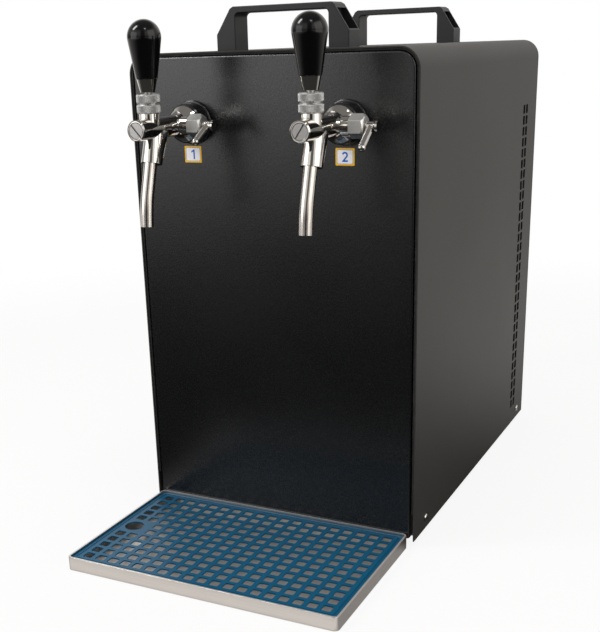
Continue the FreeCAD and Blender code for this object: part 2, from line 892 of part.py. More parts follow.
# ================================================================ handles
def handle(start):
    """Moulded carrying handle: two feet with hollow sloping ends, joined by a flat bar."""
    foot = handle_foot_half
    shoulder = foot - handle_lean
    opening = shoulder - handle_end
    top = case_top + handle_height
    knee = case_top + handle_foot_height
    right = [(foot, 0, case_top), (foot, 0, knee), (shoulder, 0, top - handle_crown),
             (shoulder - handle_shoulder, 0, top)]
    left = [(-x, y, z) for x, y, z in reversed(right)]
    body = outline_prism(right + left, Vector(0, handle_width, 0))
    body.translate(Vector(0, start, 0))
    corner = handle_opening_corner
    body = body.cut(panel_prism(-opening, opening, case_top - past, top - handle_bar,
                                (0.0, 0.0, corner, corner), start - past, handle_width + 2 * past))
    rounding = []
    for edge in body.Edges:
        bounds = edge.BoundBox
        across = bounds.YMax - bounds.YMin
        to_face = min(abs(bounds.YMin - start), abs(bounds.YMax - start - handle_width))
        if across < tiny and to_face < tiny and bounds.ZMax > case_top + tiny:
            rounding.append(edge)
    body = body.makeFillet(handle_edge, rounding)
    cuts = []
    for side in (-1, 1):
        near = side * (opening + handle_pocket_wall)
        far = side * (foot + past)
        cuts.append(box(min(near, far), max(near, far), start + handle_wall,
                        start + handle_width - handle_wall, knee + handle_pocket_floor,
                        top - handle_pocket_drop))
        cuts.append(rod(handle_screw_radius + running,
                        (side * handle_screw_x, start + handle_width / 2, case_top - past),
                        Z_AXIS, handle_screw_bore + past))
    return body.cut(cuts)


def handle_screws():
    """Screws from inside the casing up into the handles."""
    length = sheet + handle_screw_depth
    return group([pan_screw(handle_screw_head, handle_screw_head_height, handle_screw_radius,
                            length, (x, y, case_top - sheet), DOWN)
                  for x, y in handle_screw_places()])


# ================================================================ taps
def spout_mouth(x):
    """Middle of the tube where it leaves the socket, and the way it points."""
    tilt = math.radians(spout_tilt)
    mouth = Vector(x, lever_y - spout_step, tap_axis - socket_drop)
    return mouth, Vector(0, -math.sin(tilt), -math.cos(tilt))


def spout_socket(x):
    """Socket that leans forward with the tube and widens to the rear as it nears the barrel."""
    mouth, down = spout_mouth(x)
    spread = socket_length * math.tan(math.radians(socket_flare)) / 2
    back = X_AXIS.cross(down)
    middle = mouth + back * socket_set_back
    top = middle - down * socket_length + back * spread
    lower = Part.Wire([Part.makeCircle(socket_radius, middle, down)])
    oval = Part.Ellipse(top + back * (socket_radius + spread), top + X_AXIS * socket_radius, top)
    return Part.makeLoft([lower, Part.Wire([oval.toShape()])], True, True)


def lever_clearance(x, way):
    """Room for the lever to swing: above the ball with way 1, below it with way -1."""
    radius, length = (stem_radius, knob_bottom) if way > 0 else (tip_radius, pivot_height)
    swing = math.tan(math.radians(lever_forward))
    near = radius / math.cos(math.radians(lever_forward)) + fit_gap
    return Part.makeCone(near, near + length * swing, length, Vector(x, lever_y, pivot_z),
                         Vector(0, 0, way))


def ball_socket(x):
    return Part.makeSphere(ball_radius + running, Vector(x, lever_y, pivot_z))


def tap_shell(x):
    """Outer form of the bell, its flange and the barrel."""
    seat = collar_thickness
    face = seat + tap_flange_thickness
    rim = tap_flange_radius
    edge = tap_flange_edge
    profile = ((0, seat), (rim - edge, seat), (rim, seat + edge), (rim, face - edge),
               (rim - edge, face), (tap_radius, seat + tap_bell_length, -tap_bell_hollow),
               (tap_radius, tap_ahead - tap_edge), (tap_radius - tap_edge, tap_ahead),
               (0, tap_ahead))
    return turned(profile, (x, face_y, tap_axis), FORWARD)


def compensator_boss(x):
    """Slim conical boss on the barrel's side with a wide end that the gland nut seats on."""
    wide = boss_reach - boss_flange
    return turned(((0, 0), (boss_root, 0), (boss_neck, wide), (boss_radius - boss_edge, wide),
                   (boss_radius, wide + boss_edge), (boss_radius, boss_reach), (0, boss_reach)),
                  (x, comp_y, tap_axis), X_AXIS)


def tap_body(x):
    """Chromed tap: bell and flange, barrel, lever neck, spout socket and compensator boss."""
    neck = rod(neck_radius, (x, lever_y, tap_axis), Z_AXIS, neck_height)
    body = fuse([tap_shell(x), neck, compensator_boss(x), spout_socket(x)])
    mouth, down = spout_mouth(x)
    nose = face_y - tap_ahead
    shank_front = face_y - collar_thickness - shank_in_tap
    cuts = [rod(tap_bore, (x, nose, tap_axis), Y_AXIS, tap_ahead - collar_thickness),
            rod(plug_radius + running, (x, nose - past, tap_axis), Y_AXIS,
                past + plug_depth + seal_thickness),
            rod(plug_radius + plug_groove, (x, nose - past, tap_axis), Y_AXIS,
                past + plug_groove_depth),
            rod(shank_radius + running, (x, shank_front, tap_axis), Y_AXIS, shank_in_tap + past),
            lever_clearance(x, -1),
            ball_socket(x),
            rod(spindle_eye + running, (x, comp_y, tap_axis), X_AXIS, boss_reach + past),
            rod(spindle_collar + running, (x + collar_start, comp_y, tap_axis), X_AXIS, boss_reach),
            rod(spout_radius - spout_wall, mouth - down * socket_drop, down, socket_drop),
            rod(spout_radius + running, mouth - down * spout_grip, down, spout_grip + past)]
    return body.cut(cuts)


def knurled_rings():
    """Two knurled rings over each lever neck; the lower one carries a spigot for the upper."""
    rings = []
    half_chamfer = ring_chamfer / 2
    profile = ((0, 0), (ring_radius - half_chamfer, 0), (ring_radius, half_chamfer),
               (ring_radius, ring_height - ring_chamfer), (ring_rim, ring_height), (0, ring_height))
    for x in tap_sides:
        spigot = rod(ring_radius - ring_shoulder, (x, lever_y, ring_low), Z_AXIS,
                     ring_height + ring_gap)
        lower = fuse([turned(profile, (x, lever_y, ring_low), Z_AXIS), spigot])
        upper = turned(profile, (x, lever_y, ring_high), Z_AXIS)
        for body in (lower, upper):
            rings.append(body.cut([lever_clearance(x, 1), ball_socket(x)]))
    return group(rings)


def lever_stem(x):
    """Ball, tail that moves the valve, and threaded stem up into the knob."""
    length = knob_bottom - pivot_height + stem_in_knob
    return fuse([Part.makeSphere(ball_radius, Vector(x, lever_y, pivot_z)),
                 rod(stem_radius, (x, lever_y, pivot_z), Z_AXIS, length),
                 rod(tail_radius, (x, lever_y, tap_axis), Z_AXIS, pivot_height),
                 Part.makeSphere(tip_radius, Vector(x, lever_y, tap_axis))])


def lever_ferrule(x):
    """Tapered sleeve under the knob, dished underneath so that it clears the rings."""
    height = knob_low - rings_top
    body = turned(((0, 0), (ferrule_bottom_radius, 0), (ferrule_top_radius, height), (0, height)),
                  (x, lever_y, rings_top), Z_AXIS)
    dish = Part.makeSphere(ferrule_dish, Vector(x, lever_y, pivot_z))
    bore = rod(stem_radius + running, (x, lever_y, rings_top - past), Z_AXIS, height + 2 * past)
    return body.cut([dish, bore])


def lever_knob(x):
    """Tapering grip that runs tangentially into a ball-shaped head."""
    height = knob_top - knob_bottom
    middle = height - knob_radius
    rise = middle - knob_edge
    reach = math.hypot(knob_bottom_radius, rise)
    swing = math.pi - math.atan2(knob_bottom_radius, rise) - math.acos(knob_radius / reach)
    touch = (knob_radius * math.sin(swing), middle + knob_radius * math.cos(swing))
    sagitta = knob_radius * (1 - math.cos(swing / 2))
    body = turned(((0, 0), (knob_bottom_radius - knob_edge, 0), (knob_bottom_radius, knob_edge),
                   touch, (0, height, sagitta)), (x, lever_y, knob_low), Z_AXIS)
    return body.cut(rod(stem_radius + running, (x, lever_y, knob_low - past), Z_AXIS,
                        past + stem_in_knob + stem_end_gap))


def valve_piston(x):
    """Sliding valve with a cross slot that the lever's tip moves in."""
    radius = tap_bore - running
    body = rod(radius, (x, lever_y - piston_half, tap_axis), Y_AXIS, 2 * piston_half)
    cuts = []
    for end in (-1, 1):
        start = lever_y + end * (piston_half - piston_groove_inset) - piston_groove_width / 2
        cuts.append(ring(tap_bore + past, tap_bore - piston_groove_depth, (x, start, tap_axis),
                         Y_AXIS, piston_groove_width))
    room = tip_radius + swing_gap
    step = tap_axis + piston_slot_step
    cuts.append(box(x - room, x + room, lever_y - room, lever_y + room, tap_axis - room, step))
    cuts.append(box(x - room, x + room, lever_y - piston_slot_half, lever_y + piston_slot_half,
                    step, tap_axis + tap_bore))
    return body.cut(cuts)


def tap_plugs():
    """Slotted plugs that close the barrels' fronts."""
    plugs = []
    front = tap_ahead - plug_setback
    profile = ((0, tap_ahead - plug_depth), (plug_radius, tap_ahead - plug_depth),
               (plug_radius, front - plug_edge), (plug_radius - plug_edge, front), (0, front))
    for x, turn in zip(tap_sides, plug_turns):
        body = turned(profile, (x, face_y, tap_axis), FORWARD)
        reach = plug_radius + past
        slot = box(-reach, reach, -front - past, plug_slot_depth - front, -plug_slot / 2,
                   plug_slot / 2)
        slot.rotate(ORIGIN, Y_AXIS, turn)
        slot.translate(Vector(x, face_y, tap_axis))
        plugs.append(body.cut(slot))
    return group(plugs)


def tap_seals():
    """Rubber rings behind the front plugs."""
    start = face_y - tap_ahead + plug_depth
    return group([ring(plug_radius - seal_play, tap_bore + seal_play, (x, start, tap_axis), Y_AXIS,
                       seal_thickness) for x in tap_sides])


def spout(x):
    """Bent stainless outlet tube, gripped in the socket."""
    mouth, down = spout_mouth(x)
    start = mouth - down * spout_grip
    end_tilt = math.radians(spout_end_tilt)
    away = Vector(0, -math.sin(end_tilt), -math.cos(end_tilt))
    trim = spout_bend_radius * math.tan(math.radians(spout_tilt - spout_end_tilt) / 2)
    corner = mouth + down * (spout_straight + trim)
    tip = corner + away * (trim + spout_tip)
    outside = pipe([start, corner, tip], spout_radius, spout_bend_radius)
    inside = pipe([start - down, corner, tip + away], spout_radius - spout_wall, spout_bend_radius)
    return outside.cut(inside)


def shank_collars():
    """Black rosettes between the taps and the front panel."""
    collars = []
    profile = ((0, 0), (collar_radius, 0), (collar_radius, collar_disc - collar_edge),
               (collar_radius - collar_edge, collar_disc, collar_hub_draft * 2 / 3),
               (collar_hub_radius + collar_hub_draft, collar_disc),
               (collar_hub_radius, collar_thickness - collar_hub_edge),
               (collar_hub_radius - collar_hub_edge, collar_thickness), (0, collar_thickness))
    for x in tap_sides:
        body = turned(profile, (x, face_y, tap_axis), FORWARD)
        bore = rod(shank_radius + running, (x, face_y - collar_thickness - past, tap_axis), Y_AXIS,
                   collar_thickness + 2 * past)
        collars.append(body.cut(bore))
    return group(collars)


def tap_shanks():
    """Threaded tubes that carry the taps and lead the beer through the front panel."""
    shanks = []
    ahead = collar_thickness + shank_in_tap
    length = shank_behind + ahead
    seat = shank_seat + fit_gap
    for x in tap_sides:
        body = rod(shank_radius, (x, face_y - ahead, tap_axis), Y_AXIS, length)
        cuts = [rod(shank_bore, (x, face_y - ahead - past, tap_axis), Y_AXIS, length + 2 * past),
                rod(tube_radius + running, (x, face_y + shank_behind - seat, tap_axis), Y_AXIS,
                    seat + past)]
        shanks.append(body.cut(cuts))
    return group(shanks)


def shank_nuts():
    """Washers and nuts that clamp the shanks to the front panel."""
    nuts = []
    washer_end = face_y + sheet + shank_washer_thickness
    for x in tap_sides:
        washer = rod(shank_washer_radius, (x, face_y + sheet, tap_axis), Y_AXIS,
                     shank_washer_thickness)
        nut = hexagon(shank_nut_flats, (x, washer_end, tap_axis), Y_AXIS, shank_nut_thickness)
        bore = rod(shank_radius + running, (x, face_y, tap_axis), Y_AXIS, shank_behind)
        nuts.append(fuse([washer, nut]).cut(bore))
    return group(nuts)


def number_plates():
    """Thin plates under the taps that number them."""
    plates = []
    low = tap_axis - plate_drop - plate_height / 2
    for x in tap_sides:
        left = x + plate_shift - plate_width / 2
        plates.append(panel_prism(left, left + plate_width, low, low + plate_height,
                                  (plate_corner,) * 4, face_y - plate_thickness, plate_thickness))
    return group(plates)


# ================================================================ flow compensators
def compensator_nuts():
    """Hexagonal gland nuts with a rounded outer end."""
    nuts = []
    radius = corner_radius(comp_nut_flats)
    shoulder = comp_nut_length - comp_nut_edge
    for x in tap_sides:
        start = (x + boss_reach, comp_y, tap_axis)
        form = turned(((0, 0), (radius, 0), (radius, shoulder),
                       (radius - comp_nut_edge, comp_nut_length, fit_gap), (0, comp_nut_length)),
                      start, X_AXIS)
        bore = rod(spindle_radius + running, (x, comp_y, tap_axis), X_AXIS, spindle_reach)
        nuts.append(hexagon(comp_nut_flats, start, X_AXIS, comp_nut_length).common(form).cut(bore))
    return group(nuts)


def compensator_lever(x, angle):
    """Spindle with its eccentric pin inside and the hand lever outside."""
    def on_axis(radius, start, end, drop=0.0):
        return rod(radius, (x + start, comp_y, tap_axis - drop), X_AXIS, end - start)

    low = math.radians(angle)
    way = Vector(0, -math.cos(low), -math.sin(low))
    centre = Vector(x + hub_start + hub_length / 2, comp_y, tap_axis)
    return fuse([on_axis(spindle_radius, spindle_start, spindle_reach),
                 on_axis(spindle_eye, spindle_start, collar_start + swing_gap),
                 on_axis(spindle_collar, collar_start + swing_gap, collar_end),
                 on_axis(pin_radius, -pin_reach, spindle_start + past, eccentric),
                 on_axis(hub_radius, hub_start, hub_start + hub_length),
                 on_axis(cap_radius, spindle_reach - cap_length, spindle_reach),
                 Part.makeCone(arm_root, arm_tip, arm_length, centre, way),
                 Part.makeSphere(arm_ball, centre + way * (arm_length - past))])


def compensator_cone(x):
    """Tapered plug that throttles the flow, with a slot for the eccentric pin."""
    radius = tap_bore - running
    body = turned(((0, -cone_half), (radius, -cone_half), (radius, cone_half - cone_taper),
                   (cone_tip, cone_half), (0, cone_half)), (x, comp_y, tap_axis), Y_AXIS)
    room = pin_radius + swing_gap
    slot = box(x - pin_reach - fit_gap, x + tap_bore, comp_y - room, comp_y + room,
               tap_axis - eccentric - pin_radius - fit_gap, tap_axis)
    return body.cut(slot)


# ================================================================ drip tray
def drip_tray():
    """Shallow sheet tray with a hemmed rim and two ledges that the grid lies on."""
    def layer(inset, z0, z1):
        return deck_prism(-tray_half + inset, tray_half - inset, tray_front + inset,
                          tray_back - inset, tray_corner - inset, z0, z1 - z0)

    hem_low = tray_height - tray_hem_depth
    shell = layer(0.0, 0.0, tray_height).cut([layer(tray_wall, tray_wall, hem_low),
                                              layer(tray_hem, hem_low, tray_height)])
    rims = []
    for edge in shell.Edges:
        bounds = edge.BoundBox
        on_side = max(bounds.XMax, -bounds.XMin) > tray_half - tiny
        on_end = bounds.YMin < tray_front + tiny or bounds.YMax > tray_back - tiny
        if bounds.ZMin > tray_height - tiny and (on_side or on_end):
            rims.append(edge)
    shell = shell.makeFillet(tray_rim_radius, rims)
    half = tray_half - tray_corner
    ledges = [box(-half, half, y, y + ledge_width, grid_low - ledge_thickness, grid_low)
              for y in (tray_front + tray_wall, tray_back - tray_wall - ledge_width)]
    return fuse([shell] + ledges)


def grid_layout():
    """Places of the hole columns and rows, and the middle of the round hole."""
    columns = count_within(2 * (grid_half - grid_margin) - grid_hole_x, grid_pitch_x)
    rows = count_within(grid_back - grid_front - 2 * grid_margin - grid_hole_y, grid_pitch_y)
    xs = [(column - (columns - 1) / 2) * grid_pitch_x for column in range(columns)]
    ys = [grid_middle + (row - (rows - 1) / 2) * grid_pitch_y for row in range(rows)]
    return xs, ys, (xs[0] + drain_step, grid_middle)


def hole_places():
    """Middles of the square drain holes, leaving out those that the round hole takes."""
    xs, ys, (drain_x, drain_y) = grid_layout()
    reach_x = drain_radius + grid_hole_x / 2 + grid_rib
    reach_y = drain_radius + grid_hole_y / 2 + grid_rib
    return [(x, y) for x in xs for y in ys
            if abs(x - drain_x) > reach_x or abs(y - drain_y) > reach_y]


def drip_grid():
    """Moulded grid, thin inside its deep border, that lies loose on the tray's ledges."""
    def plate(inset, z0, z1, corner):
        return deck_prism(-grid_half + inset, grid_half - inset, grid_front + inset,
                          grid_back - inset, corner, z0, z1 - z0)

    drain = grid_layout()[2]
    depth = grid_thickness + 2 * past
    cuts = [rod(drain_radius, (*drain, grid_low - past), Z_AXIS, depth)]
    for x, y in hole_places():
        cuts.append(deck_prism(x - grid_hole_x / 2, x + grid_hole_x / 2, y - grid_hole_y / 2,
                               y + grid_hole_y / 2, grid_hole_corner, grid_low - past, depth))
    groove_low = grid_top - groove_depth
    groove_end = groove_inset + groove_width
    groove = plate(groove_inset, groove_low, grid_top + past, grid_corner - groove_width)
    groove = groove.cut(plate(groove_end, groove_low, grid_top + past,
                              grid_corner - 2 * groove_width))
    hollow = plate(grid_border, grid_low - past, grid_top - grid_web, grid_corner)
    return plate(0.0, grid_low, grid_top, grid_corner).cut(cuts + [groove, hollow])


# ================================================================ rear fittings
def thermostat():
    """Thermostat body behind the rear panel, with the shaft that the dial sits on."""
    start = (dial_x, rear_inner, dial_height)
    shaft_length = sheet + dial_gap + dial_shaft_depth - fit_gap
    return fuse([block_about(dial_x, thermostat_half, rear_inner - thermostat_depth, rear_inner,
                             dial_height, thermostat_half),
                 rod(thermostat_bush, start, Y_AXIS, sheet),
                 rod(dial_shaft, start, Y_AXIS, shaft_length)])


def thermostat_dial():
    """Skirted dial with a fluted grip."""
    back = rear_face + dial_gap
    reach = rear_edge + dial_reach - back
    grip = dial_grip_radius
    edge = dial_edge
    grip_foot = dial_skirt + 2 * edge
    profile = ((0, 0), (dial_radius - edge / 2, 0), (dial_radius, edge / 2),
               (dial_radius, dial_skirt - edge), (dial_radius - edge, dial_skirt, fit_gap),
               (grip + edge, dial_skirt + edge), (grip, grip_foot),
               (grip - dial_grip_draft / 2, reach - edge), (grip - dial_grip_draft, reach, fit_gap),
               (0, reach))
    body = turned(profile, (dial_x, back, dial_height), Y_AXIS)
    cuts = [rod(dial_shaft + running, (dial_x, back - past, dial_height), Y_AXIS,
                dial_shaft_depth + past)]
    ring_of_flutes = grip + dial_flute_radius - dial_flute_depth
    for step in range(dial_flutes):
        angle = 2 * math.pi * step / dial_flutes
        centre = (dial_x + ring_of_flutes * math.cos(angle), back + grip_foot,
                  dial_height + ring_of_flutes * math.sin(angle))
        cuts.append(rod(dial_flute_radius, centre, Y_AXIS, reach))
    return body.cut(cuts)


def switch_housing():
    """Bezel and box of the mains switch, with pins that the rocker turns on and two tags."""
    front = rear_face + switch_flange
    edge = switch_flange_edge
    flange = block_about(socket_x, switch_half_x + edge, rear_face, front, switch_height,
                         switch_half_z + edge)
    rims = [rim for rim in flange.Edges if abs(rim.BoundBox.YMin - front) < tiny]
    flange = flange.makeFillet(switch_flange_radius, rims)
    shell = block_about(socket_x, switch_half_x, rear_face - switch_depth, rear_face,
                        switch_height, switch_half_z)
    half_x = switch_half_x - switch_wall
    well = block_about(socket_x, half_x, rear_face - switch_well, front + past, switch_height,
                       switch_half_z - switch_wall)
    pieces = [fuse([flange, shell]).cut(well)]
    for side in (-1, 1):
        pieces.append(block_about(socket_x + side * switch_tab_step, switch_tab_thickness / 2,
                                  rear_face - switch_depth - switch_tab_length,
                                  rear_face - switch_depth, switch_height, switch_tab_width / 2))
        root = (socket_x + side * (half_x + arm_overlap), rear_face - rocker_depth, switch_height)
        pieces.append(rod(rocker_pin, root, Vector(-side, 0, 0), rocker_pin_length + arm_overlap))
    return fuse(pieces)


def power_rocker():
    """Rocker with a shallow V face, resting pushed in at its upper end."""
    half_z = rocker_half_z
    face = rocker_valley + half_z * math.tan(math.radians(rocker_tilt))
    upper = [(0, -rocker_root, half_z - rocker_taper), (0, 0.0, half_z), (0, face, half_z)]
    lower = [(x, y, -z) for x, y, z in reversed(upper)]
    outline = upper + [(0, rocker_valley, 0.0)] + lower
    body = outline_prism(outline, Vector(2 * rocker_half_x, 0, 0))
    body.translate(Vector(-rocker_half_x, 0, 0))
    body.rotate(ORIGIN, X_AXIS, rocker_tilt)
    body.translate(Vector(socket_x, rear_face - rocker_depth, switch_height))
    start = (socket_x - rocker_half_x - past, rear_face - rocker_depth, switch_height)
    return body.cut(rod(rocker_pin + running, start, X_AXIS, 2 * (rocker_half_x + past)))


def mains_inlet():
    """Three-pin appliance inlet with a flange that takes two screws."""
    flange = panel_prism(socket_x - socket_flange_half_x, socket_x + socket_flange_half_x,
                         socket_height - socket_flange_half_z, socket_height + socket_flange_half_z,
                         (socket_flange_corner,) * 4, rear_face, socket_flange)
    shell = block_about(socket_x, socket_half_x, rear_face - socket_depth, rear_face,
                        socket_height, socket_half_z)
    well = panel_prism(socket_x - socket_well_half_x, socket_x + socket_well_half_x,
                       socket_height - socket_well_half_z, socket_height + socket_well_half_z,
                       socket_well_corners, rear_face - socket_well_depth,
                       socket_well_depth + socket_flange + past)
    pieces = [fuse([flange, shell]).cut(well)]
    for step_x, step_z in socket_pin_places:
        pieces.append(block_about(socket_x + step_x, socket_pin_half_x,
                                  rear_face - socket_depth - socket_pin_tail,
                                  rear_face - socket_pin_setback, socket_height + step_z,
                                  socket_pin_half_z))
    holes = [rod(socket_screw_radius, (socket_x + side * socket_screw_step, rear_face - past,
                                       socket_height), Y_AXIS, socket_flange + 2 * past)
             for side in (-1, 1)]
    return fuse(pieces).cut(holes)


def beer_inlets():
    """Push-in bulkhead fittings for the two beer hoses."""
    fittings = []
    face = rear_face - inlet_tail
    flange_end = face + inlet_flange_thickness
    mouth = inlet_mouth - inlet_tail
    stop = inlet_mouth - collet_grip - hose_grip
    profile = ((0, 0), (inlet_thread, 0), (inlet_thread, face), (inlet_flange, face),
               (inlet_flange, flange_end), (inlet_radius, flange_end),
               (inlet_radius, mouth - inlet_edge), (inlet_radius - inlet_edge, mouth), (0, mouth))
    for x in inlet_sides:
        body = turned(profile, (x, inlet_tail, inlet_height), Y_AXIS)
        nut = hexagon(inlet_nut_flats, (x, rear_inner - inlet_nut_thickness, inlet_height), Y_AXIS,
                      inlet_nut_thickness)
        cuts = [rod(hose_radius, (x, stop, inlet_height), Y_AXIS, hose_grip + past),
                rod(collet_radius + running, (x, inlet_mouth - collet_grip, inlet_height), Y_AXIS,
                    collet_grip + past),
                rod(tube_radius + running, (x, inlet_tail - past, inlet_height), Y_AXIS,
                    past + inlet_seat + fit_gap),
                rod(inlet_bore, (x, inlet_tail, inlet_height), Y_AXIS, stop + past - inlet_tail)]
        fittings.append(fuse([body, nut]).cut(cuts))
    return group(fittings)


def inlet_collet(x):
    """Release collet that is pressed in to free the hose."""
    start = inlet_mouth - collet_grip + collet_travel + swing_gap
    length = inlet_mouth + collet_stand + collet_head + collet_travel - start
    shoulder = length - collet_head
    body = turned(((0, 0), (collet_radius, 0), (collet_radius, shoulder),
                   (collet_radius + collet_lip, shoulder), (collet_radius + collet_lip, length),
                   (0, length)), (x, start, inlet_height), Y_AXIS)
    return body.cut(rod(hose_radius, (x, start - past, inlet_height), Y_AXIS, length + 2 * past))


# ================================================================ cooling circuit
def beer_coil(tap_x, radius):
    """Beer line from the rear inlet, down and up through the block, to the tap shank."""
    side = math.copysign(1, tap_x)
    plane = face_y + beer_plane
    first = inlet_spacing / 2
    pitch = (abs(tap_x) - first) / (coil_runs - 1)
    points = [(side * first, inlet_tail + inlet_seat, inlet_height),
              (side * first, plane, inlet_height)]
    for run in range(coil_runs - 1):
        level = coil_high if run % 2 else coil_low
        for step in (run, run + 1):
            points.append((side * (first + step * pitch), plane, level))
    points.append((tap_x, plane, tap_axis))
    points.append((tap_x, face_y + shank_behind - shank_seat, tap_axis))
    return pipe(points, radius, pitch / 2 - bend_margin)


def evaporator_coil(radius):
    """Refrigerant tube in the block, with both ends standing above the insulation."""
    plane = face_y + evaporator_plane
    bends = int(2 * evaporator_half / evaporator_pitch)
    points = [(-evaporator_half, plane, foam_top + evaporator_stub)]
    for run in range(bends):
        level = coil_high if run % 2 else coil_low
        for step in (run, run + 1):
            points.append((step * evaporator_pitch - evaporator_half, plane, level))
    points.append((evaporator_half, plane, foam_top + evaporator_stub))
    return pipe(points, radius, evaporator_pitch / 2 - bend_margin)


def block_form():
    return box(-block_half, block_half, face_y + block_front, face_y + block_back, block_low,
               block_high)


def cooling_block(coils):
    """Block of cast aluminium round the beer lines and the evaporator."""
    return block_form().cut(coils)


def block_insulation(coils):
    """Foam jacket that stands on the base and holds the cooling block."""
    half = block_half + foam
    jacket = box(-half, half, face_y + block_front - foam, face_y + block_back + foam, base_top,
                 foam_top)
    pockets = [rod(foot_barb + foot_pocket, (x, y, base_underside), Z_AXIS,
                   foot_pin_height + foot_pocket) for x, y in foot_places()]
    return jacket.cut([block_form()] + coils + pockets)


def compressor_shell():
    """Hermetic can with a seam round its middle, on a mounting plate."""
    radius = compressor_radius
    height = compressor_height
    seam = height / 2
    seam_top = seam + compressor_seam_height
    dome = compressor_dome
    crown = compressor_top_radius
    wall = compressor_wall
    bulge = compressor_dome * 0.25
    outer = ((0, 0), (radius - compressor_bottom_inset, 0), (radius, dome, bulge), (radius, seam),
             (radius + compressor_seam, seam), (radius + compressor_seam, seam_top),
             (radius, seam_top), (radius, height - dome), (crown, height, bulge), (0, height))
    inner = ((0, wall), (radius - compressor_bottom_inset, wall), (radius - wall, dome),
             (radius - wall, height - dome - wall), (crown, height - wall), (0, height - wall))
    start = (compressor_x, compressor_y, compressor_low)
    can = turned(outer, start, Z_AXIS).cut(turned(inner, start, Z_AXIS))
    span = grommet_step + grommet_radius + mount_plate_margin
    plate = deck_prism(compressor_x - span, compressor_x + span, compressor_y - span,
                       compressor_y + span, mount_plate_corner, compressor_low - mount_plate,
                       mount_plate)
    holes = [rod(grommet_stud + hole_gap, (x, y, compressor_low - mount_plate - past), Z_AXIS,
                 mount_plate + past) for x, y in grommet_places()]
    return fuse([can, plate]).cut(holes)


def compressor_motor():
    """Pump and motor inside the can, standing on its floor."""
    floor = compressor_low + compressor_wall
    pump_low = floor + motor_stator_height
    return fuse([rod(motor_stator_radius, (compressor_x, compressor_y, floor), Z_AXIS,
                     motor_stator_height),
                 box(compressor_x - pump_half_x, compressor_x + pump_half_x,
                     compressor_y - pump_half_y, compressor_y + pump_half_y, pump_low,
                     pump_low + pump_height)])


def compressor_grommets():
    """Rubber mounts with their studs, between the base and the compressor's plate."""
    plate_low = compressor_low - mount_plate
    head = grommet_stud + grommet_head
    profile = ((0, base_underside), (grommet_stud, base_underside), (grommet_stud, base_top),
               (grommet_radius, base_top),
               (grommet_radius - grommet_waist, (base_top + plate_low) / 2),
               (grommet_radius, plate_low), (grommet_stud, plate_low),
               (grommet_stud, compressor_low), (head, compressor_low),
               (head, compressor_low + grommet_head), (0, compressor_low + grommet_head))
    return group([turned(profile, (x, y, 0), Z_AXIS) for x, y in grommet_places()])


def condenser():
    """Finned tube block between two end plates."""
    solids = []
    width = condenser_right - condenser_left
    fins = count_within(width, fin_pitch)
    step = (width - condenser_end_plate) / (fins - 1)
    for index in range(fins):
        x = condenser_left + index * step
        thickness = condenser_end_plate if index in (0, fins - 1) else fin_thickness
        solids.append(box(x, x + thickness, condenser_front, condenser_back, condenser_low,
                          condenser_high))
    for row in range(condenser_rows):
        z = condenser_low + condenser_pitch * (row + 0.5)
        solids.append(rod(tube_radius, (condenser_left - condenser_overhang, condenser_middle, z),
                          X_AXIS, width + 2 * condenser_overhang))
    return fuse(solids)


def fan_shroud():
    """Shroud plate on the condenser with a throat, and the arms that hold the motor."""
    outer = throat_radius + shroud_sheet
    plate = box(condenser_left, condenser_right, condenser_front - shroud_sheet, condenser_front,
                condenser_low, condenser_high)
    throat = rod(outer, (fan_x, condenser_front - throat_depth, fan_z), Y_AXIS, throat_depth)
    body = fuse([plate, throat])
    body = body.cut(rod(throat_radius, (fan_x, condenser_front - throat_depth - past, fan_z),
                        Y_AXIS, throat_depth + 2 * past))
    arms_front = condenser_front - throat_depth - arm_sheet
    pieces = [body]
    for step in range(3):
        arm = box(-arm_width / 2, arm_width / 2, 0.0, arm_sheet, fan_motor_radius + arm_overlap,
                  throat_radius + arm_overlap)
        arm.rotate(ORIGIN, Y_AXIS, 60.0 + 120.0 * step)
        arm.translate(Vector(fan_x, arms_front, fan_z))
        pieces.append(arm)
    start = (fan_x, arms_front, fan_z)
    pieces.append(ring(fan_motor_radius + fan_motor_ring, fan_motor_radius + running, start,
                       Y_AXIS, arm_sheet))
    pieces.append(ring(outer, throat_radius - arm_overlap, start, Y_AXIS, arm_sheet + arm_overlap))
    return fuse(pieces)


def fan_motor():
    front = fan_motor_back - fan_motor_length
    depth = fan_shaft_in_motor + fan_shaft_end_gap
    return rod(fan_motor_radius, (fan_x, front, fan_z), Y_AXIS, fan_motor_length).cut(
        rod(fan_shaft_radius + running, (fan_x, fan_motor_back - depth, fan_z), Y_AXIS,
            depth + past))


def fan_shaft():
    return rod(fan_shaft_radius, (fan_x, fan_motor_back - fan_shaft_in_motor, fan_z), Y_AXIS,
               fan_shaft_length)


def fan_blade():
    """Hub and pitched blades on the motor's shaft."""
    pieces = [rod(fan_hub_radius, (0, -fan_hub_half, 0), Y_AXIS, 2 * fan_hub_half)]
    for step in range(fan_blades):
        blade = box(-fan_blade_half, fan_blade_half, -fan_blade_thickness / 2,
                    fan_blade_thickness / 2, fan_blade_root, fan_radius)
        blade.rotate(ORIGIN, Z_AXIS, fan_pitch_angle)
        blade.rotate(ORIGIN, Y_AXIS, 360.0 * step / fan_blades)
        pieces.append(blade)
    reach = fan_blade_half
    sweep = rod(fan_radius, (0, -reach, 0), Y_AXIS, 2 * reach)
    bore = rod(fan_shaft_radius, (0, -reach, 0), Y_AXIS, 2 * reach)
    body = fuse(pieces).common(sweep).cut(bore)
    body.translate(Vector(fan_x, condenser_front - fan_setback, fan_z))
    return body


